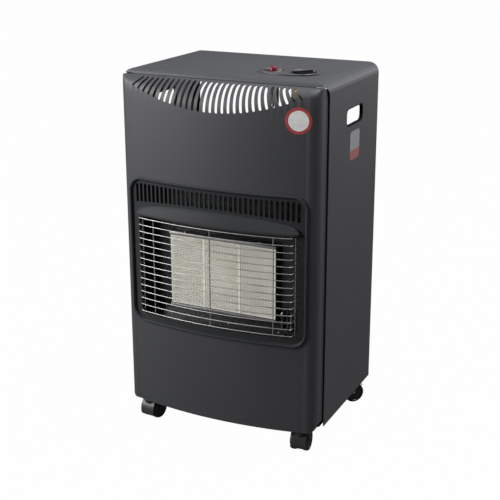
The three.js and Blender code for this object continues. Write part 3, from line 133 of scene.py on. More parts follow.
def makeFloor():
    bpy.ops.mesh.primitive_plane_add(size=studio["floorSize"], location=(0, 0, 0))
    floor = bpy.context.active_object
    floor.name = "studioFloor"
    material, matt = startMaterial(
        "studioFloor", Base_Color=studio["floorTone"], Roughness=studio["floorRoughness"],
        Specular_IOR_Level=studio["floorGloss"])
    tree = material.node_tree
    white = addNode(tree, "ShaderNodeEmission", {"Strength": 1.0})
    rays = addNode(tree, "ShaderNodeLightPath").outputs
    seen = mathNode(tree, "MULTIPLY", rays["Is Camera Ray"], 1.0 - studio["shadowKeep"])
    mirrored = mathNode(tree, "MULTIPLY", rays["Is Glossy Ray"], studio["mirroredFloor"])
    share = mathNode(tree, "MAXIMUM", seen, mirrored)
    mixSurfaces(tree, "Material Output", share, matt.outputs["BSDF"], white.outputs["Emission"])
    floor.data.materials.append(material)


def makeWorld():
    world = bpy.data.worlds.new("studioWorld")
    world.use_nodes = True
    tree = world.node_tree
    soft = tree.nodes["Background"]
    soft.inputs["Color"].default_value = studio["worldTone"]
    white = addNode(tree, "ShaderNodeBackground", {"Color": (1.0, 1.0, 1.0, 1.0)})
    seen = addNode(tree, "ShaderNodeLightPath").outputs["Is Camera Ray"]
    mixSurfaces(tree, "World Output", seen, soft.outputs["Background"], white.outputs["Background"])
    scene.world = world


def makeLamps():
    for name, place, aim, size, power in studio["lamps"]:
        lamp = bpy.data.lights.new(name, "AREA")
        lamp.shape = "RECTANGLE"
        lamp.size, lamp.size_y = size
        lamp.energy = power
        box = bpy.data.objects.new(name, lamp)
        scene.collection.objects.link(box)
        box.location = place
        box.rotation_euler = (Vector(aim) - Vector(place)).to_track_quat("-Z", "Y").to_euler()


placeCamera()
makeFloor()
makeWorld()
makeLamps()
print("camera, floor and lamps are set")


# shared effects, as node groups

noiseBand = (0.3, 0.7)  # where most of a noise's values lie


def startGroup(name, inputs):
    # a node group with its own inputs, and the outputs that every finish needs
    group = bpy.data.node_groups.new(name, "ShaderNodeTree")
    kinds = {1: "NodeSocketFloat", 3: "NodeSocketVector", 4: "NodeSocketColor"}
    for label, value in inputs.items():
        kind = kinds[len(value) if isinstance(value, tuple) else 1]
        socket = group.interface.new_socket(label, in_out="INPUT", socket_type=kind)
        socket.default_value = value
    for label, size in (("Colour", 4), ("Roughness", 1), ("Height", 1)):
        group.interface.new_socket(label, in_out="OUTPUT", socket_type=kinds[size])
    return group, addNode(group, "NodeGroupInput").outputs


def closeGroup(group, *values):
    addNode(group, "NodeGroupOutput", enumerate(values))
    return group


def noiseNode(tree, place, scale, detail=2.0, roughness=0.5):
    inputs = {"Vector": place, "Scale": scale, "Detail": detail, "Roughness": roughness}
    return addNode(tree, "ShaderNodeTexNoise", inputs).outputs["Fac"]


def rangeNode(tree, value, band, spread):
    # what lies within the band comes out within the spread
    labels = ("Value", "From Min", "From Max", "To Min", "To Max")
    inputs = zip(labels, (value, *band, *spread))
    return addNode(tree, "ShaderNodeMapRange", inputs).outputs["Result"]


def mixColour(tree, share, first, second, blend="MIX"):
    inputs = {0: share, 6: first, 7: second}
    return addNode(tree, "ShaderNodeMix", inputs, data_type="RGBA", blend_type=blend).outputs[2]


def objectPlace(tree):
    return addNode(tree, "ShaderNodeTexCoord").outputs["Object"]


powder = {
    "peelScale": 210.0, "patchScale": 5.0,
    "speckBand": (0.58, 0.72), "speckTone": (2.1, 2.1, 2.15, 1.0),
    "toneSpread": (0.95, 1.05), "roughnessSpread": (-0.05, 0.06),
    "grainHeight": 0.6, "peelHeight": 0.8,
}


def buildPowderGroup():
    # fine orange-peel of a baked powder coat, with tiny lighter specks and broad unevenness
    group, given = startGroup("powderCoat", {
        "Colour": (0.05, 0.05, 0.05, 1.0), "Grain Scale": 900.0, "Speck": 0.2, "Roughness": 0.45,
    })
    place = objectPlace(group)
    grain = noiseNode(group, place, given["Grain Scale"], 2.0, 0.6)
    peel = noiseNode(group, place, powder["peelScale"], 1.0)
    patches = noiseNode(group, place, powder["patchScale"])
    specks = rangeNode(group, grain, powder["speckBand"], (0.0, 1.0))
    amount = mathNode(group, "MULTIPLY", specks, given["Speck"])
    lighter = mixColour(group, 1.0, given["Colour"], powder["speckTone"], "MULTIPLY")
    tone = mixColour(group, amount, given["Colour"], lighter)
    uneven = rangeNode(group, patches, noiseBand, powder["toneSpread"])
    shade = mixColour(group, 1.0, tone, uneven, "MULTIPLY")
    spread = rangeNode(group, grain, noiseBand, powder["roughnessSpread"])
    rough = mathNode(group, "ADD", given["Roughness"], spread)
    fine = mathNode(group, "MULTIPLY", grain, powder["grainHeight"])
    coarse = mathNode(group, "MULTIPLY", peel, powder["peelHeight"])
    return closeGroup(group, shade, rough, mathNode(group, "ADD", fine, coarse))


metal = {"streakBand": (0.25, 0.75), "smudgeScale": 28.0, "roughnessSpread": (-0.06, 0.1)}


def buildMetalGroup():
    # drawn or rolled metal: long faint streaks, smudges and a slightly uneven tone
    group, given = startGroup("rolledMetal", {
        "Colour": (0.6, 0.6, 0.6, 1.0), "Streak Scale": (40.0, 40.0, 900.0),
        "Tone Spread": 0.1, "Roughness": 0.3,
    })
    place = objectPlace(group)
    inputs = enumerate((place, given["Streak Scale"]))
    stretched = addNode(group, "ShaderNodeVectorMath", inputs, operation="MULTIPLY")
    streak = noiseNode(group, stretched.outputs[0], 1.0, 3.0, 0.6)
    smudge = noiseNode(group, place, metal["smudgeScale"], 3.0, 0.55)
    darkest = mathNode(group, "SUBTRACT", 1.0, given["Tone Spread"])
    tone = rangeNode(group, streak, metal["streakBand"], (darkest, 1.0))
    shade = mixColour(group, 1.0, given["Colour"], tone, "MULTIPLY")
    spread = rangeNode(group, smudge, noiseBand, metal["roughnessSpread"])
    return closeGroup(group, shade, mathNode(group, "ADD", given["Roughness"], spread), streak)


plastic = {"flowScale": 60.0, "toneSpread": (0.9, 1.12), "roughnessSpread": (-0.05, 0.05)}


def buildPlasticGroup():
    # moulded plastic: a spark-eroded texture and faint flow marks
    group, given = startGroup("mouldedPlastic", {
        "Colour": (0.03, 0.03, 0.03, 1.0), "Texture Scale": 1400.0, "Roughness": 0.45,
    })
    place = objectPlace(group)
    texture = noiseNode(group, place, given["Texture Scale"], 1.0)
    flow = noiseNode(group, place, plastic["flowScale"], 3.0)
    uneven = rangeNode(group, flow, noiseBand, plastic["toneSpread"])
    shade = mixColour(group, 1.0, given["Colour"], uneven, "MULTIPLY")
    spread = rangeNode(group, flow, noiseBand, plastic["roughnessSpread"])
    return closeGroup(group, shade, mathNode(group, "ADD", given["Roughness"], spread), texture)


effects = {"powder": buildPowderGroup(), "metal": buildMetalGroup(), "plastic": buildPlasticGroup()}
print("shared effects are built")


# materials

def addRelief(tree, shader, height, strength, distance):
    inputs = {"Height": height, "Strength": strength, "Distance": distance}
    relief = addNode(tree, "ShaderNodeBump", inputs)
    tree.links.new(relief.outputs["Normal"], shader.inputs["Normal"])


def toneRamp(tree, shader, value, stops):
    ramp = addNode(tree, "ShaderNodeValToRGB", {"Fac": value})
    for element, (position, tone) in zip(ramp.color_ramp.elements, stops):
        element.position = position
        element.color = (*tone, 1.0)
    tree.links.new(ramp.outputs["Color"], shader.inputs["Base Color"])


def finishFrom(effect, name, colour, values, bump, distance, **plain):
    # a material whose colour, roughness and relief come from one shared effect
    material, shader = startMaterial(name, **plain)
    tree = material.node_tree
    inputs = {"Colour": (*colour, 1.0), **values}
    group = addNode(tree, "ShaderNodeGroup", inputs, node_tree=effects[effect])
    tree.links.new(group.outputs["Colour"], shader.inputs["Base Color"])
    tree.links.new(group.outputs["Roughness"], shader.inputs["Roughness"])
    addRelief(tree, shader, group.outputs["Height"], bump, distance)
    return material


def powderMaterial(name, colour, grain, speck, roughness, bump, level):
    values = {"Grain Scale": grain, "Speck": speck, "Roughness": roughness}
    return finishFrom("powder", name, colour, values, bump, 0.0002, Specular_IOR_Level=level)


def metalMaterial(name, colour, streaks, spread, roughness, bump=0.15):
    values = {"Streak Scale": streaks, "Tone Spread": spread, "Roughness": roughness}
    return finishFrom("metal", name, colour, values, bump, 0.0001, Metallic=1.0)


def plasticMaterial(name, colour, roughness, level, scale=1400.0, bump=0.25):
    values = {"Texture Scale": scale, "Roughness": roughness}
    return finishFrom("plastic", name, colour, values, bump, 0.0001, Specular_IOR_Level=level)


# the zinc's greys are far darker than bare zinc: painted shade, so the inside of the case reads
# black through the vents and louvres
zinc = {
    "flowerScale": 160.0, "roughness": (0.32, 0.5),
    "tones": ((0.0, (0.06, 0.063, 0.066)), (1.0, (0.12, 0.124, 0.128))),
}


def galvanisedMaterial():
    # zinc flowers: irregular cells of slightly different grey and gloss, over greys darkened as
    # painted shade
    material, shader = startMaterial("galvanisedSteelInPaintedShade", Metallic=0.9)
    tree = material.node_tree
    inputs = {"Vector": objectPlace(tree), "Scale": zinc["flowerScale"]}
    cells = addNode(tree, "ShaderNodeTexVoronoi", inputs)
    split = addNode(tree, "ShaderNodeSeparateColor", {0: cells.outputs["Color"]})
    toneRamp(tree, shader, split.outputs[0], zinc["tones"])
    rough = rangeNode(tree, split.outputs[1], (0.0, 1.0), zinc["roughness"])
    tree.links.new(rough, shader.inputs["Roughness"])
    return material


ceramic = {
    "blotchScale": 26.0, "gritScale": 1600.0, "relief": (0.3, 0.0002),
    "tones": ((0.3, (0.75, 0.715, 0.63)), (0.72, (0.87, 0.845, 0.75))),
}


def ceramicMaterial():
    # fired ceramic: chalky, blotched a little darker and gritty to the touch
    material, shader = startMaterial("ceramicPlaque", Roughness=0.92, Specular_IOR_Level=0.25)
    tree = material.node_tree
    place = objectPlace(tree)
    blotch = noiseNode(tree, place, ceramic["blotchScale"], 4.0, 0.6)
    grit = noiseNode(tree, place, ceramic["gritScale"], 1.0)
    toneRamp(tree, shader, blotch, ceramic["tones"])
    addRelief(tree, shader, grit, *ceramic["relief"])
    return material


charcoal = ((0.040, 0.041, 0.045), 1100.0, 0.25, 0.52, 0.35, 0.44)

powderCoats = {
    # name, colour, grain scale, specks, roughness, relief, gloss
    "powder_coated_steel": ("charcoalPowderCoat", *charcoal),
    "printed_case": ("printedCase", *charcoal),
    "surround_satin": ("blackEnamel", (0.034, 0.035, 0.037), 700.0, 0.1, 0.42, 0.08, 0.05),
    "black_steel": ("heatBlackSteel", (0.012, 0.012, 0.014), 500.0, 0.1, 0.26, 0.12, 0.7),
}

metals = {
    # name, colour, scale of the streaks along each axis, spread of tone, roughness
    "bright_steel": ("brightWire", (0.40, 0.40, 0.39), (60.0, 900.0, 900.0), 0.15, 0.46),
    "axle_steel": ("axleSteel", (0.50, 0.50, 0.50), (700.0, 60.0, 60.0), 0.2, 0.35),
    "brass": ("turnedBrass", (0.62, 0.44, 0.18), (500.0, 500.0, 60.0), 0.2, 0.3),
    "copper_pipe": ("copperPipe", (0.58, 0.29, 0.16), (90.0, 90.0, 90.0), 0.3, 0.32),
}

plastics = {
    # name, colour, roughness, gloss, and where it isn't the usual one, texture scale and relief
    # the same dim ceramic grey paints the knob's pointer line, which is also a painted highlight on
    # the grip's top
    "white_ceramic": ("stainedCeramic", (0.09, 0.085, 0.075), 0.45, 0.3, 700.0, 0.05),
    "piezo_housing": ("piezoHousing", (0.55, 0.54, 0.50), 0.5, 0.4),
    "red_button": ("redButton", (0.13, 0.007, 0.022), 0.30, 0.3, 1400.0, 0.06),
    "control_plastic": ("controlPlastic", (0.048, 0.049, 0.052), 0.40, 0.45),
    "knob_plastic": ("knobPlastic", (0.005, 0.005, 0.006), 0.6, 0.03),
    "castor_grey": ("castorGrey", (0.034, 0.035, 0.038), 0.40, 0.45),
    "castor_socket": ("castorSocket", (0.015, 0.015, 0.016), 0.5, 0.4),
    "wheel_black": ("wheelBlack", (0.004, 0.004, 0.005), 0.34, 0.5, 900.0, 0.12),
    "printed_pale": ("printedPale", (0.74, 0.73, 0.71), 0.5, 0.3, 900.0, 0.05),
    "printed_red": ("printedRed", (0.36, 0.055, 0.055), 0.5, 0.3, 900.0, 0.05),
}

materials = {"galvanised_steel": galvanisedMaterial(), "ceramic_plaque": ceramicMaterial()}
for make, table in (
    (powderMaterial, powderCoats), (metalMaterial, metals), (plasticMaterial, plastics),
):
    for key, values in table.items():
        materials[key] = make(*values)


sidePlate = {
    # a plain plate printed on the right side: grey over red
    "middle": (0.0156, 0.592), "half": (0.0255, 0.028), "corner": 0.008, "edge": 0.2094,
    "grey": (0.225, 0.225, 0.23, 1.0), "red": (0.26, 0.085, 0.085, 1.0), "split": 0.583,
}


def printSidePlate(material):
    # a rounded mask in the side's own plane picks the printed colours over the powder coat
    tree = material.node_tree
    shader = tree.nodes["Principled BSDF"]
    base = shader.inputs["Base Color"].links[0].from_socket
    place = addNode(tree, "ShaderNodeSeparateXYZ", {0: objectPlace(tree)})
    squares = []
    for axis, middle, half in zip((1, 2), sidePlate["middle"], sidePlate["half"]):
        away = mathNode(tree, "ABSOLUTE", mathNode(tree, "SUBTRACT", place.outputs[axis], middle))
        past = mathNode(tree, "SUBTRACT", away, half - sidePlate["corner"])
        past = mathNode(tree, "MAXIMUM", past, 0.0)
        squares.append(mathNode(tree, "MULTIPLY", past, past))
    reach = mathNode(tree, "SQRT", mathNode(tree, "ADD", *squares))
    inside = mathNode(tree, "LESS_THAN", reach, sidePlate["corner"])
    onSide = mathNode(tree, "GREATER_THAN", place.outputs[0], sidePlate["edge"])
    share = mathNode(tree, "MULTIPLY", inside, onSide)
    upper = mathNode(tree, "GREATER_THAN", place.outputs[2], sidePlate["split"])
    inks = mixColour(tree, upper, sidePlate["red"], sidePlate["grey"])
    tree.links.new(mixColour(tree, share, base, inks), shader.inputs["Base Color"])


printSidePlate(materials["printed_case"])


nodeFinishes = {
    # finish: how the names of its nodes begin
    "printed_case": ("cabinet_shell",),
    "powder_coated_steel": ("front_panel", "rear_cover", "base_tray"),
    "surround_satin": ("burner_surround",),
    "black_steel": ("burner_reflector", "pilot_bracket", "pilot_burner", "thermocouple"),
    # the inner parts wear the darkened zinc, which paints the shade inside the case
    "galvanised_steel": (
        "burner_body", "burner_bracket", "control_bracket", "heat_shield", "flue_deflector"),
    "bright_steel": ("burner_guard", "burner_rail"),
    "axle_steel": ("valve_spindle", "castor_axle"),
    "brass": ("gas_manifold", "injector", "hose_tail", "valve_body", "valve_plug"),
    "copper_pipe": ("gas_pipe",),
    "ceramic_plaque": ("ceramic_plaque",),
    "white_ceramic": ("spark_electrode",),
    "piezo_housing": ("piezo_body",),
    "red_button": ("piezo_button",),
    "control_plastic": ("control_plate",),
    "knob_plastic": ("handle_trim", "control_knob"),
    "castor_grey": ("castor_hood",),
    "castor_socket": ("castor_socket",),
    "wheel_black": ("castor_wheel",),
}


for name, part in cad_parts.items():
    finish = next(key for key, starts in nodeFinishes.items() if name.startswith(starts))
    if not part.material_slots:
        part.data.materials.append(None)
    for place in part.material_slots:
        place.material = materials[finish]
print("every node has its finish")


# ways of making that several pieces share

depthShift = 118.9  # millimetres from the side panels' front edge back to the row's zero


def inRow(x, y, z):
    # millimetres from the side panels' front edge and the floor, into the row's metres
    return Vector((x / 1000, (y - depthShift) / 1000, z / 1000))


def between(low, high, share):
    return low + (high - low) * share


def arched(ends, share):
    # from the value in the middle to the one at the sides
    return between(*ends, share * share)


def clearSelection():
    bpy.ops.object.select_all(action="DESELECT")


def makeActive(piece):
    clearSelection()
    piece.select_set(True)
    bpy.context.view_layer.objects.active = piece


def settle(piece, name, finish, body="cabinet", node=None, smooth=35.0):
    # puts the place into the mesh, names and finishes the piece, and gives it to its body
    makeActive(piece)
    bpy.ops.object.transform_apply(location=True, rotation=True, scale=True)
    bpy.ops.object.shade_smooth_by_angle(angle=radians(smooth))
    piece.name = piece.data.name = name
    piece.data.materials.clear()
    piece.data.materials.append(materials[finish])
    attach(piece, body)
    if node:
        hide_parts(node)


def modify(piece, kind, **settings):
    modifier = piece.modifiers.new(kind.lower(), kind)
    for key, value in settings.items():
        setattr(modifier, key, value)
    makeActive(piece)
    bpy.ops.object.modifier_apply(modifier=modifier.name)


def thicken(piece, amount, side=-1.0):
    modify(piece, "SOLIDIFY", thickness=amount / 1000, offset=side, use_even_offset=True)


def roundEdges(piece, width, segments=2, angle=32.0):
    modify(piece, "BEVEL", width=width / 1000, segments=segments, limit_method="ANGLE",
           angle_limit=radians(angle))


def editAll(piece):
    makeActive(piece)
    bpy.ops.object.mode_set(mode="EDIT")
    bpy.ops.mesh.select_all(action="SELECT")


def leaveEdit():
    bpy.ops.object.mode_set(mode="OBJECT")


def mergePoints(piece, distance=0.00001):
    editAll(piece)
    bpy.ops.mesh.remove_doubles(threshold=distance)
    leaveEdit()


def closeHoles(piece):
    editAll(piece)
    bpy.ops.mesh.fill_holes(sides=0)
    leaveEdit()


def faceOutwards(piece):
    editAll(piece)
    bpy.ops.mesh.remove_doubles(threshold=0.00001)
    bpy.ops.mesh.normals_make_consistent(inside=False)
    leaveEdit()


def pickFaces(piece, picked):
    # enters edit mode with these faces selected and no others
    makeActive(piece)
    bpy.ops.object.mode_set(mode="EDIT")
    bpy.ops.mesh.select_mode(type="FACE")
    bpy.ops.mesh.select_all(action="DESELECT")
    leaveEdit()
    piece.data.polygons.foreach_set("select", picked)
    bpy.ops.object.mode_set(mode="EDIT")


def gridPiece(columns, rows, placeOf, dropped=None):
    # a flat grid, each of its points moved to its place and its unwanted cells deleted
    clearSelection()
    bpy.ops.mesh.primitive_grid_add(x_subdivisions=columns, y_subdivisions=rows, size=1.0)
    piece = bpy.context.active_object
    mesh = piece.data
    order = [
        (round((v.co.x + 0.5) * columns), round((v.co.y + 0.5) * rows)) for v in mesh.vertices]
    for v, (i, j) in zip(mesh.vertices, order):
        v.co = placeOf(i, j)
    if dropped:
        cells = [[order[v] for v in face.vertices] for face in mesh.polygons]
        pickFaces(piece, [dropped(*map(min, zip(*corners))) for corners in cells])
        bpy.ops.mesh.delete(type="FACE")
        leaveEdit()
    return piece


def zoneOf(ends, j):
    # the zone of a grid that row j lies in, and how far through it
    zone = 0
    while zone < len(ends) - 2 and j > ends[zone + 1]:
        zone += 1
    return zone, max(0.0, (j - ends[zone]) / (ends[zone + 1] - ends[zone]))


def roundEnd(offset, half):
    return half - sqrt(max(0.0, half * half - offset * offset))


def cornerRise(x, half, corner):
    # how far the corner of a rounded rectangle takes its edge in at x
    return roundEnd(max(0.0, min(abs(x), half) - (half - corner)), corner)


def joined(pieces):
    clearSelection()
    for piece in pieces:
        piece.select_set(True)
    bpy.context.view_layer.objects.active = pieces[0]
    bpy.ops.object.join()
    return pieces[0]


def copiedNode(node):
    # a merged copy of a CAD node, ready for edge rounding
    copy = bpy.data.objects.new(node + "Copy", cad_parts[node].data.copy())
    scene.collection.objects.link(copy)
    editAll(copy)
    bpy.ops.mesh.remove_doubles(threshold=0.00001)
    bpy.ops.mesh.dissolve_limited(angle_limit=radians(0.6))
    leaveEdit()
    return copy


def turnedPiece(profile, centre, axis, across, steps=48, turnFrom=0.0, turnTo=360.0):
    # a closed section (distance from the axis, place along it) swept round the axis
    axis = Vector(axis).normalized()
    across = Vector(across).normalized()
    third = axis.cross(across)
    loop = list(profile) + [profile[0]]

    def placeOf(i, j):
        turn = radians(between(turnFrom, turnTo, i / steps))
        reach, along = loop[j]
        way = across * cos(turn) + third * sin(turn)
        return centre + (way * reach + axis * along) / 1000

    piece = gridPiece(steps, len(profile), placeOf)
    mergePoints(piece, 0.000002)
    if turnTo - turnFrom < 360.0:
        closeHoles(piece)
    faceOutwards(piece)
    return piece


# bowed front panel with its vents

panel = {
    "half": 206.5, "corner": 22, "standOff": 43, "bow": 21, "tuck": 12,
    "low": 52, "high": 723, "topZ": 733, "topReach": 28, "capBack": -12,
    "capReach": 205.9, "roll": (61, 27), "rollSweep": 1.25,
    "sheet": 1.5, "fold": 6, "footCorner": 14,
    "vents": 29, "ventPitch": 11.3, "ventWidth": 5.6, "ventTop": 10.7,
    "ventDrop": (63, 28), "ventFan": 1.09, "ventReach": 176,
    "hole": (185.5, 233.5, 524.5, 25.5),  # half width, bottom, top, corner
    "wrapRadius": 18.2, "wrapCentre": (190, 713), "wrapFront": -19,
    # the grid's columns: across a vent, beside the vents, round the corner, along the side
    "ventSteps": (-1, -0.85, -0.5, 0, 0.5, 0.85, 1), "sideColumns": (177.5, 180, 182),
    "cornerSteps": 10, "sideSteps": (0.35, 0.7, 1),
    # and rows: below, beside and above the hole, along the vents, over them, in the cap
    "rows": (8, 10, 12, 16, 1, 3),
}
flatHalf = panel["half"] - panel["corner"]


def faceDepth(x):
    # the front stands proud of the sides, and bows out to its middle
    return -arched((panel["bow"], 0), min(1, abs(x) / flatHalf)) - panel["standOff"]


def rollShare(x, z):
    # how far the front has rolled back at this height: 0 on the bow, 1 at its top edge
    share = min(1, abs(x) / flatHalf)
    start = panel["topZ"] - arched(panel["roll"], share)
    if z <= start:
        return 0
    sweep = panel["rollSweep"]
    rise = min(1, (z - start) / (panel["high"] - start)) * sin(sweep)
    return (1 - sqrt(1 - rise * rise)) / (1 - cos(sweep))


def ventLow(x):
    # the vents' lower ends follow an arch
    share = x / ((panel["vents"] - 1) / 2 * panel["ventPitch"] * panel["ventFan"])
    return panel["topZ"] - arched(panel["ventDrop"], share)


def panelColumn(top, low=None, middle=None, offset=None, depth=None):
    # x at the vents' tops and below them, x of the vent's middle, place across the vent (None
    # on a rib), and depth (None where the bow gives it)
    low = top if low is None else low
    middle = low if middle is None else middle
    return {"top": top, "low": low, "middle": middle, "offset": offset, "depth": depth}


def panelColumns():
    pitch, fan, half = panel["ventPitch"], panel["ventFan"], panel["ventWidth"] / 2
    columns = []
    for order in range(panel["vents"]):
        middle = (order - (panel["vents"] - 1) / 2) * pitch
        low = middle * fan
        if order:
            rib = middle - pitch / 2
            columns.append(panelColumn(rib, rib * fan, low))
        for share in panel["ventSteps"]:
            offset = share * half
            columns.append(panelColumn(middle + offset, low + offset, low, offset))
    for x in (*panel["sideColumns"], panel["hole"][0], flatHalf):
        columns += [panelColumn(-x), panelColumn(x)]
    return sorted(columns, key=lambda column: column["top"])


def panelOutline():
    # the front's columns, then the corner's arc and the tucked-in side wall at each end
    radius, front = panel["corner"], -panel["standOff"]
    places = []
    for step in range(1, panel["cornerSteps"] + 1):
        turn = radians(90 / panel["cornerSteps"] * step)
        places.append((flatHalf + radius * sin(turn), front + radius * (1 - cos(turn))))
    for share in panel["sideSteps"]:
        places.append((panel["half"], between(front + radius, panel["tuck"], share)))
    left = [panelColumn(-x, depth=y) for x, y in reversed(places)]
    return left + panelColumns() + [panelColumn(x, depth=y) for x, y in places]


def underWrap(x, y, z):
    # the panel's hidden top corners stay inside the bend of the case
    middle, level = panel["wrapCentre"]
    if y < panel["wrapFront"] or abs(x) <= middle or z <= level:
        return z
    room = panel["wrapRadius"] ** 2 - (abs(x) - middle) ** 2
    return min(z, level + sqrt(max(0, room)))


def buildFrontPanel():
    plan = panelOutline()
    ends = list(accumulate(panel["rows"], initial=1))  # row 0 is the fold along the foot
    holeHalf, holeLow, holeHigh, holeCorner = panel["hole"]
    halfVent = panel["ventWidth"] / 2

    def levels(column):
        low, offset = column["low"], column["offset"]
        rise = cornerRise(low, holeHalf, holeCorner)
        inset = halfVent if offset is None else roundEnd(offset, halfVent)
        reach = panel["ventReach"]
        return [
            panel["low"] + cornerRise(low, panel["half"], panel["footCorner"]),
            holeLow + rise, holeHigh - rise,
            ventLow(max(-reach, min(reach, column["middle"]))) + inset,
            panel["topZ"] - panel["ventTop"] - inset,
            panel["high"], panel["high"],
        ]

    def placeOf(i, j):
        column = plan[i]
        stops = levels(column)
        zone, share = zoneOf(ends, j)
        z = between(stops[zone], stops[zone + 1], share)
        x, outline = column["low"], column["depth"]
        if outline is None:  # the ribs between the vents lean a little outwards, downwards
            x = between(x, column["top"], 0 if zone < 3 else (share if zone == 3 else 1))
            outline = faceDepth(x)
        back = max(0, -panel["topReach"] - outline)
        y = outline + back * rollShare(x, z)
        if zone == 5:  # the cap goes back under the top
            y = between(y, max(y, panel["capBack"]), share)
        if j == 0 and column["depth"] is None:
            y += panel["fold"]
        elif j == 0:  # round the corner the fold points at the corner's middle
            middle = Vector((copysign(flatHalf, x), panel["corner"] - panel["standOff"]))
            way = (middle - Vector((x, y))).normalized() * panel["fold"]
            x, y = x + way.x, (y + way.y if y < middle.y else y)
        return inRow(x, y, underWrap(x, y, z))

    def dropped(i, j):
        first, second = plan[i], plan[i + 1]
        inVent = first["offset"] is not None and second["offset"] is not None
        inHole = max(abs(first["low"]), abs(second["low"])) <= holeHalf + 0.01
        pastCap = first["depth"] is not None and second["depth"] is not None and (
            max(first["depth"], second["depth"]) > panel["capBack"]
            or abs(first["low"]) > panel["capReach"])
        return (
            inVent and ends[3] <= j < ends[4]
            or inHole and ends[1] <= j < ends[2]
            or pastCap and j >= ends[5])

    piece = gridPiece(len(plan) - 1, ends[-1], placeOf, dropped)
    thicken(piece, panel["sheet"])
    faceOutwards(piece)
    settle(piece, "frontPanel", "powder_coated_steel", node="front_panel", smooth=40)


buildFrontPanel()
print("front panel is shaped")


# pressed surround of the fire: beaded rim, louvred floor and hood

surround = {
    # half width, bottom, top and corner of the rim, the floor inside it and the fire's opening
    "rim": (190, 229, 529, 30), "floor": (184, 235, 523, 24), "fire": (170, 246, 457, 18),
    # the bead's section: inward of the outer edge, depth from the panel's face
    "bead": (
        (2, 0), (1.2, -0.9), (0.5, -1.9), (0.8, -3), (1.7, -3.8), (2.9, -4), (4, -3.7),
        (5, -2.9), (6, -1.6), (6.8, -0.2), (7.4, 1.4),
    ),
    "rimWall": 1.2, "cornerSteps": 12, "sideSteps": 8, "levelSteps": 40,
    "floorDepth": 1.2, "floorWall": 3, "floorGap": 0.2,
    "louvres": 35, "louvreReach": 171.5, "louvreWidth": 6.1, "louvreTop": 517,
    "louvreLow": (487, 475),
    "louvreSteps": (-1, -0.8, -0.4, 0, 0.4, 0.8, 1),
    "sideColumns": (176, 178.5, 181, 183),
    "rows": (3, 12, 5, 10, 2),  # below, beside and above the fire, along the louvres, over them
    "hoodHalf": 173, "hoodReach": 10, "hoodRise": (25, 13), "hoodWall": 1.4,
    "hoodBack": 1, "hoodSlope": 0.72, "hoodLip": 2.4, "hoodFade": 10, "hoodGrid": (72, 9),
}


def rimOutline():
    # points and outward directions round the rim, close together along its length
    points = []
    half, low, high, corner = surround["rim"]
    midX, midZ = half - corner, (low + high) / 2
    upper = (high - low) / 2 - corner
    quarter, tall, wide = (surround[key] for key in ("cornerSteps", "sideSteps", "levelSteps"))
    rising = [between(midZ - upper, midZ + upper, k / tall) for k in range(1, tall)]
    along = [between(-midX, midX, k / wide) for k in range(1, wide)]
    for side, top, turnFrom in ((1, -1, -90), (1, 1, 0), (-1, 1, 90), (-1, -1, 180)):
        centre = Vector((side * midX, midZ + top * upper))
        for step in range(quarter + 1):
            turn = radians(turnFrom + 90 / quarter * step)
            way = Vector((cos(turn), sin(turn)))
            points.append((centre + way * corner, way))
        if side != top:  # a corner that a side follows, up on the right and down on the left
            levels = rising if side > 0 else rising[::-1]
            points += [(Vector((side * half, z)), Vector((side, 0))) for z in levels]
        else:
            level, places = (high, along[::-1]) if top > 0 else (low, along)
            points += [(Vector((x, level)), Vector((0, top))) for x in places]
    return points


def buildRim():
    path = rimOutline()
    path.append(path[0])
    section = surround["bead"]

    def placeOf(i, j):
        point, way = path[i]
        inward, depth = section[j]
        spot = point - way * inward
        return inRow(spot.x, faceDepth(spot.x) + depth, spot.y)

    rim = gridPiece(len(path) - 1, len(section) - 1, placeOf)
    mergePoints(rim)  # closes the ring before it gets its wall
    return rim


def louvreColumns():
    # x of each column, and its place across a louvre (None beside the louvres)
    half = surround["louvreWidth"] / 2
    reach = surround["louvreReach"]
    pitch = 2 * reach / (surround["louvres"] - 1)
    columns = []
    for order in range(surround["louvres"]):
        middle = order * pitch - reach
        if order:
            columns.append((middle - pitch / 2, None))
        columns += [(middle + step * half, step * half) for step in surround["louvreSteps"]]
    for x in (*surround["sideColumns"], surround["floor"][0]):
        columns += [(-x, None), (x, None)]
    return sorted(columns)


def buildFloor():
    columns = louvreColumns()
    ends = list(accumulate(surround["rows"], initial=0))
    rimHalf, rimCorner = surround["rim"][0], surround["rim"][3]
    floorHalf, floorLow, floorHigh, floorCorner = surround["floor"]
    fireHalf, fireLow, fireHigh, fireCorner = surround["fire"]
    halfLouvre = surround["louvreWidth"] / 2

    def levels(i):
        x, offset = columns[i]
        middle = x if offset is None else x - offset
        inset = halfLouvre if offset is None else roundEnd(offset, halfLouvre)
        fire = cornerRise(x, fireHalf, fireCorner)
        edge = cornerRise(x, floorHalf, floorCorner)
        louvreLow = arched(surround["louvreLow"], min(1, abs(middle) / rimHalf))
        louvreTop = surround["louvreTop"] - cornerRise(middle, rimHalf, rimCorner)
        stops = [
            floorLow + edge, fireLow + fire, fireHigh - fire,
            louvreLow + inset, louvreTop - inset, floorHigh - edge,
        ]
        for k in range(5):  # near the corners the rows stay in their order
            stops[k] = min(stops[k], stops[5] - surround["floorGap"] * (5 - k))
        return stops

    def placeOf(i, j):
        x, stops = columns[i][0], levels(i)
        zone, share = zoneOf(ends, j)
        z = between(stops[zone], stops[zone + 1], share)
        return inRow(x, faceDepth(x) + surround["floorDepth"], z)

    def dropped(i, j):
        (x, offset), (nextX, nextOffset) = columns[i], columns[i + 1]
        inFire = max(abs(x), abs(nextX)) <= fireHalf + 0.01
        inLouvre = offset is not None and nextOffset is not None
        return inFire and ends[1] <= j < ends[2] or inLouvre and ends[3] <= j < ends[4]

    return gridPiece(len(columns) - 1, ends[-1], placeOf, dropped)


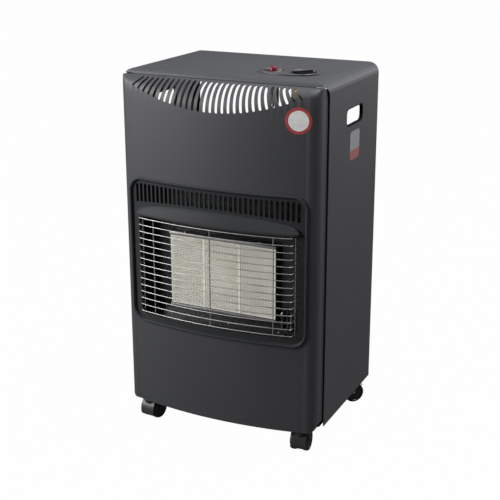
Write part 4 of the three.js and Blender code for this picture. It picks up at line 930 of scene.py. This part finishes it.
def buildHood():
    columns, rows = surround["hoodGrid"]
    half = surround["hoodHalf"]

    def placeOf(i, j):
        x = between(-half, half, i / columns)
        share = abs(x) / half
        fade = sqrt(max(0, 1 - share ** surround["hoodFade"]))
        height = arched(surround["hoodRise"], share) * fade
        down = min(1, j / (rows - 1))  # the slope is nearly flat, a little rounded at its top
        reach = surround["hoodReach"] * down ** surround["hoodSlope"] * between(1, fade, 0.6)
        z = surround["fire"][2] + height * (1 - down)
        if j == rows:  # a short lip turns down over the guard
            z -= surround["hoodLip"]
        depth = faceDepth(x) + surround["floorDepth"] - surround["hoodBack"]
        return inRow(x, depth - reach, z)

    return gridPiece(columns, rows, placeOf)


def buildSurround():
    pieces = [buildRim(), buildFloor(), buildHood()]
    for piece, wall in zip(pieces, ("rimWall", "floorWall", "hoodWall")):
        thicken(piece, surround[wall])
        faceOutwards(piece)
    whole = joined(pieces)
    settle(whole, "fireSurround", "surround_satin", node="burner_surround", smooth=42)


buildSurround()
print("surround is shaped")


# wire guard

guard = {
    "half": 164, "low": 256, "pitch": 13.8, "wires": 15, "radius": 1, "steps": 36,
    "proud": 10, "endBend": 4, "endDepth": 7.6,
    "uprights": (-127.9, 0, 127.9), "uprightRadius": 1.1, "overrun": 0.6, "weld": 0.4,
    "endLow": 243, "endHigh": 461, "endSink": 0.6,
}


def wirePiece(points, radius):
    # a curve through the points, rounded and made a mesh
    clearSelection()
    bpy.ops.curve.primitive_nurbs_path_add(radius=1)
    wire = bpy.context.active_object
    wire.data.splines.clear()
    spline = wire.data.splines.new("POLY")
    spline.points.add(len(points) - 1)
    for spot, place in zip(spline.points, points):
        spot.co = (*place, 1)
    wire.data.bevel_depth = radius / 1000
    wire.data.bevel_resolution = 2
    wire.data.use_fill_caps = True
    makeActive(wire)
    bpy.ops.object.convert(target="MESH")
    return bpy.context.active_object


def guardLine(z):
    # forward from the slotted side, round a small bend and along the bow, then back again
    half, bend, steps = guard["half"], guard["endBend"], guard["steps"]
    inner = half - bend
    front = faceDepth(half) - guard["proud"] + bend
    end = [(half, faceDepth(half) + guard["endDepth"]), (half, front)]
    for step in (1, 2, 3):
        turn = radians(30 * step)
        end.append((inner + bend * cos(turn), front - bend * sin(turn)))
    along = [between(-inner, inner, k / steps) for k in range(1, steps)]
    line = [(-x, y) for x, y in end]
    line += [(x, faceDepth(x) - guard["proud"]) for x in along]
    return [inRow(x, y, z) for x, y in line + end[::-1]]


def buildGuard():
    levels = [guard["low"] + order * guard["pitch"] for order in range(guard["wires"])]
    wires = [wirePiece(guardLine(z), guard["radius"]) for z in levels]
    thick, overrun = guard["uprightRadius"], guard["overrun"]
    behind = guard["radius"] + thick - guard["weld"] - guard["proud"]
    uprights = [(x, behind, levels[0] - overrun, levels[-1] + overrun) for x in guard["uprights"]]
    for x in (-guard["half"], guard["half"]):
        depth = guard["endDepth"] - guard["endSink"]
        uprights.append((x, depth, guard["endLow"], guard["endHigh"]))
    for x, depth, low, high in uprights:
        ends = [inRow(x, faceDepth(x) + depth, z) for z in (low, high)]
        wires.append(wirePiece(ends, thick))
    settle(joined(wires), "wireGuard", "bright_steel", node="burner_guard", smooth=50)


buildGuard()
print("guard is bent and welded")


# pierced ceramic plaques

plaques = {
    "pitch": 77, "width": 73.6, "height": 142, "thick": 13.4, "front": -20.4, "middle": 340,
    "across": 22, "up": 42, "rim": 2.6, "web": 0.75, "bore": 2.6,
    # the cord's section: across, and behind the plaques' face
    "cord": (
        (-2.1, 6), (-2.1, -0.2), (-1.4, -0.6), (0, -0.8), (1.4, -0.6), (2.1, -0.2), (2.1, 6)),
    "cordSteps": 12,
}


def backwards(amount):
    # an extrude's move, away from the front
    return {"value": (0, amount / 1000, 0)}


def buildPlaque(order):
    middle = (order - 1) * plaques["pitch"]
    across, up, rim = (plaques[key] for key in ("across", "up", "rim"))
    halfX, halfZ = plaques["width"] / 2, plaques["height"] / 2

    def spread(k, count, half):
        # the first and last cells are the plain margin round the holes
        if k in (0, count):
            return copysign(half, k - 1)
        return between(rim - half, half - rim, (k - 1) / (count - 2))

    def placeOf(i, j):
        x = middle + spread(i, across, halfX)
        return inRow(x, plaques["front"], plaques["middle"] + spread(j, up, halfZ))

    plaque = gridPiece(across, up, placeOf)
    # the outer edge goes back to the plaque's thickness
    editAll(plaque)
    bpy.ops.mesh.region_to_loop()
    bpy.ops.mesh.extrude_edges_move(TRANSFORM_OT_translate=backwards(plaques["thick"]))
    bpy.ops.mesh.edge_face_add()
    leaveEdit()
    # every inner cell is inset and sunk, which pierces the face
    reachX, reachZ = (halfX - rim) / 1000, (halfZ - rim) / 1000
    face = inRow(middle, plaques["front"], plaques["middle"])
    away = [cell.center - face for cell in plaque.data.polygons]
    pickFaces(plaque, [
        abs(way.x) < reachX and abs(way.z) < reachZ and abs(way.y) < 0.0001 for way in away])
    bpy.ops.mesh.inset(thickness=plaques["web"] / 1000, use_individual=True)
    bpy.ops.mesh.extrude_region_move(TRANSFORM_OT_translate=backwards(plaques["bore"]))
    leaveEdit()
    node = f"ceramic_plaque_{order + 1}"
    settle(plaque, f"piercedPlaque{order + 1}", "ceramic_plaque", node=node, smooth=25)


def buildPlaqueJoint(name, side):
    # ceramic cord laid in the joint between two plaques
    half, section, steps = plaques["height"] / 2, plaques["cord"], plaques["cordSteps"]
    middle = side * plaques["pitch"] / 2

    def placeOf(i, j):
        across, depth = section[j]
        z = plaques["middle"] + between(-half, half, i / steps)
        return inRow(middle + across, plaques["front"] + depth, z)

    cord = gridPiece(steps, len(section) - 1, placeOf)
    faceOutwards(cord)
    settle(cord, name, "ceramic_plaque", smooth=50)


for order in range(3):
    buildPlaque(order)
buildPlaqueJoint("plaqueJointLeft", -1)
buildPlaqueJoint("plaqueJointRight", 1)
print("plaques are pierced")


# castors

castors = {
    "places": {
        # name: swivel axis across and along, turn
        "front_left": (-170, -26, -7), "front_right": (170, -26, 8),
        "rear_left": (-170, 228, 24), "rear_right": (170, 228, -48),
    },
    "trail": 14, "wheelRadius": 22, "wheelMiddle": 11.8,
    "hoodFrom": 38, "hoodTo": 205, "hoodSteps": 30, "postSteps": 32,
    # sections: distance from the axis, place along it
    "wheel": (
        (3.4, -7), (14, -6.9), (18.6, -6.6), (20.4, -5.8), (21.5, -4.4), (22, -2.4),
        (22, 1.6), (21.6, 3.8), (20.6, 5.6), (19, 6.6), (17.6, 6.9), (16.8, 6.2), (16.2, 5.4),
        (9, 5.2), (8.4, 6.4), (7, 6.9), (3.4, 6.9),
    ),
    "hood": (
        (23.3, -15.2), (24, -16.4), (24.7, -16.2), (25.1, -15.4), (25.2, -14), (25.2, -7),
        (25.2, 0), (25.2, 7), (25.2, 14), (25.1, 15.4), (24.7, 16.2), (24, 16.4),
        (23.3, 15.2), (23.2, 0),
    ),
    "web": ((4, -4.5), (8, -4.5), (23.6, -4.5), (23.6, 4.5), (8, 4.5), (4, 4.5)),
    "post": (
        (0.01, 37), (9.2, 37), (10, 37.8), (10, 50.6), (9.2, 51.4), (5, 51.4),
        (5, 75.4), (0.01, 75.4),
    ),
}


def buildCastor(name, across, along, turn):
    turn = radians(turn)
    side = Vector((cos(turn), sin(turn), 0))
    rear = Vector((-sin(turn), cos(turn), 0))
    swivel = inRow(across, along, 0)
    height = Vector((0, 0, castors["wheelRadius"] / 1000))
    axle = swivel + rear * castors["trail"] / 1000 + height
    for label, way in (("a", -1), ("b", 1)):
        centre = axle + side * way * castors["wheelMiddle"] / 1000
        wheel = turnedPiece(castors["wheel"], centre, side * way, rear)
        settle(wheel, f"wheel{name}{label}", "wheel_black", f"wheel_{name}_{label}",
               f"castor_wheel_{name}_{label}")
    sweep = (castors["hoodSteps"], castors["hoodFrom"], castors["hoodTo"])
    pieces = [turnedPiece(castors[key], axle, side, rear, *sweep) for key in ("hood", "web")]
    pieces.append(
        turnedPiece(castors["post"], swivel, (0, 0, 1), side, castors["postSteps"]))
    settle(joined(pieces), f"hood{name}", "castor_grey", f"castor_{name}",
           f"castor_hood_{name}", smooth=38)


for name, place in castors["places"].items():
    buildCastor(name, *place)
print("castors are shaped")


# control plate, knob and ignition button on the top

upright = ((0, 0, 1), (1, 0, 0))  # axis and starting side of what is turned on the top

wellPlate = {
    "top": 735.5, "along": 62, "edge": 0.5,
    "wells": ((131, 27), (70, 21)),  # across, radius
    "beadReach": 2, "bead": 1.4, "beadSink": 0.3, "beadSteps": 56,
}


def buildPlate():
    # the plate with rounded edges, and a bead round each well
    plate = copiedNode("control_plate")
    roundEdges(plate, wellPlate["edge"], 3, 40)
    pieces = [plate]
    for x, radius in wellPlate["wells"]:
        reach, bead = radius + wellPlate["beadReach"], wellPlate["bead"]
        turns = [radians(30 * k) for k in range(12)]
        section = [
            (reach + bead * cos(turn), bead * sin(turn) - wellPlate["beadSink"])
            for turn in turns]
        centre = inRow(x, wellPlate["along"], wellPlate["top"])
        pieces.append(turnedPiece(section, centre, *upright, wellPlate["beadSteps"]))
    settle(joined(pieces), "controlPlate", "control_plastic", node="control_plate")


knob = {
    "across": 131, "along": 62, "low": 728.3, "turn": 52, "steps": 64,
    "disc": (
        (4.4, 0), (21.9, 0), (22.5, 0.6), (22.5, 3.6), (22.1, 4.6), (20.9, 6.2), (19.6, 7.1),
        (16.6, 8), (13.6, 8.5), (7, 8.6), (0.01, 8.6), (0.01, 5.2), (4.4, 5.2),
    ),
    # the grip's section narrows towards its top, and its ends are round: aside, height
    "grip": (
        (-3.5, 6.6), (-3.4, 9.6), (-2.9, 10.5), (-1.8, 10.8), (1.8, 10.8), (2.9, 10.5), (3.4, 9.6),
        (3.5, 6.6),
    ),
    "gripHalf": 19.6, "gripSteps": 26, "gripRound": 22.4,
    # the pointer, a lighter line let into the grip's top, which is also the grip's painted
    # highlight
    "pointerHighlight": ((-0.8, 10.6), (-0.8, 11), (0.8, 11), (0.8, 10.6)),
    "highlightLineHalf": 18, "highlightLineSteps": 6,
}


def buildKnob():
    centre = inRow(knob["across"], knob["along"], knob["low"])
    turn = radians(knob["turn"])
    along = Vector((cos(turn), sin(turn), 0))
    aside = Vector((-sin(turn), cos(turn), 0))

    def barPiece(section, reaches, narrowAt):
        def placeOf(i, j):
            offset, height = section[j]
            spot = along * reaches[i] + aside * offset * narrowAt(reaches[i])
            return centre + spot / 1000 + Vector((0, 0, height / 1000))

        return gridPiece(len(reaches) - 1, len(section) - 1, placeOf)

    def gripNarrow(reach):
        return sqrt(max(0, 1 - abs(reach / knob["gripRound"]) ** 6))

    half, steps = knob["gripHalf"], knob["gripSteps"]
    turns = [between(-1, 1, k / steps) * pi / 2 for k in range(steps + 1)]
    grip = barPiece(knob["grip"], [half * sin(turn) for turn in turns], gripNarrow)
    closeHoles(grip)
    faceOutwards(grip)
    body = turnedPiece(knob["disc"], centre, *upright, knob["steps"])
    whole = joined([body, grip])
    settle(whole, "controlKnob", "knob_plastic", "knob_pushing", "control_knob", 30)
    # a lighter line on the grip's top: the pointer, and a painted highlight of the grip
    half, steps = knob["highlightLineHalf"], knob["highlightLineSteps"]
    reaches = [between(-half, half, k / steps) for k in range(steps + 1)]
    pointerHighlight = barPiece(knob["pointerHighlight"], reaches, lambda reach: 1)
    settle(pointerHighlight, "knobPointerHighlight", "white_ceramic", "knob_pushing", smooth=30)


button = {
    "head": (
        (0.01, -13), (6.7, -13), (6.7, -2.6), (6.4, -1.6), (5.7, -0.7), (4.6, -0.25),
        (2.5, 0), (0.01, 0),
    ),
    "stemRadius": 6.2, "stemTop": -12.5, "headSteps": 40, "stemSteps": 24,
}


def buildButton():
    low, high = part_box("piezo_button")
    centre = Vector(((low[0] + high[0]) / 2, (low[1] + high[1]) / 2, high[2]))
    head = turnedPiece(button["head"], centre, *upright, button["headSteps"])
    foot = (low[2] - centre.z) * 1000
    radius, top = button["stemRadius"], button["stemTop"]
    profile = ((0.01, foot), (radius, foot), (radius, top), (0.01, top))
    stem = turnedPiece(profile, centre, *upright, button["stemSteps"])
    whole = joined([head, stem])
    settle(whole, "ignitionButton", "red_button", "ignition_button", "piezo_button")


buildPlate()
buildKnob()
buildButton()
print("controls are shaped")


# round blank disc on the front

disc = {
    "across": 169, "up": 667, "sheet": 0.12, "rings": 4, "steps": 64,
    "parts": (
        # name, inner and outer radius, lift off the panel, finish
        ("blankDiscFace", 0, 18.6, 0.28, "printed_pale"),
        ("blankDiscRing", 18.6, 24.5, 0.30, "printed_red"),
    ),
}


def frontOutline(x):
    # depth of the panel's face, round its corner too
    past = abs(x) - flatHalf
    if past <= 0:
        return faceDepth(x)
    radius = panel["corner"]
    reach = min(past, radius - 0.01)
    return -panel["standOff"] + radius - sqrt(radius ** 2 - reach ** 2)


def buildDiscPart(name, inner, outer, lift, finish):
    rings, steps = disc["rings"], disc["steps"]

    def placeOf(i, j):
        turn = radians(360 * i / steps)
        reach = between(inner, outer, j / rings)
        x = disc["across"] + reach * cos(turn)
        return inRow(x, frontOutline(x) - lift, disc["up"] + reach * sin(turn))

    piece = gridPiece(steps, rings, placeOf)
    mergePoints(piece, 0.000002)
    thicken(piece, disc["sheet"], 1)
    faceOutwards(piece)
    settle(piece, name, finish, smooth=40)


for part in disc["parts"]:
    buildDiscPart(*part)
print("blank disc is on")


# small pieces whose edges are rounded

roundedNodes = (
    # node, width of the rounding, finish
    ("handle_trim_right", 0.35, "knob_plastic"), ("handle_trim_left", 0.35, "knob_plastic"),
    ("burner_rail_top", 0.3, "bright_steel"), ("burner_rail_bottom", 0.3, "bright_steel"),
    ("valve_body", 0.6, "brass"), ("hose_tail", 0.3, "brass"),
)

for node, width, finish in roundedNodes:
    piece = copiedNode(node)
    roundEdges(piece, width)
    settle(piece, node.replace("_", "") + "Smooth", finish, node=node)
print("small pieces have their rounded edges")


# bright screws: two on the upper burner rail, three along the floor of the fire

screws = {
    "head": (
        (0.01, 0), (2.3, 0), (2.25, 0.5), (1.9, 1), (1.2, 1.35), (0.9, 1.4), (0.8, 1),
        (0.01, 1)),
    "steps": 20,
    "places": (
        # name, across, along, up, way it faces
        ("screwRailRight", 80, -22.2, 419.9, (0, -1, 0)),
        ("screwRailLeft", -80, -22.2, 419.9, (0, -1, 0)),
        ("screwFloorMiddle", 9.6, -11.5, 239.7, (0, 0, 1)),
        ("screwFloorRight", 118, -11.5, 239.7, (0, 0, 1)),
        ("screwFloorLeft", -118, -11.5, 239.7, (0, 0, 1)),
    ),
}


railFront = min(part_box("burner_rail_top")[0].y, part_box("ceramic_plaque_2")[0].y)
for name, across, along, up, way in screws["places"]:
    centre = inRow(across, along, up)
    if way[1]:
        centre.y = railFront
    head = turnedPiece(screws["head"], centre, way, (1, 0, 0), screws["steps"])
    settle(head, name, "bright_steel")
print("screws are in")
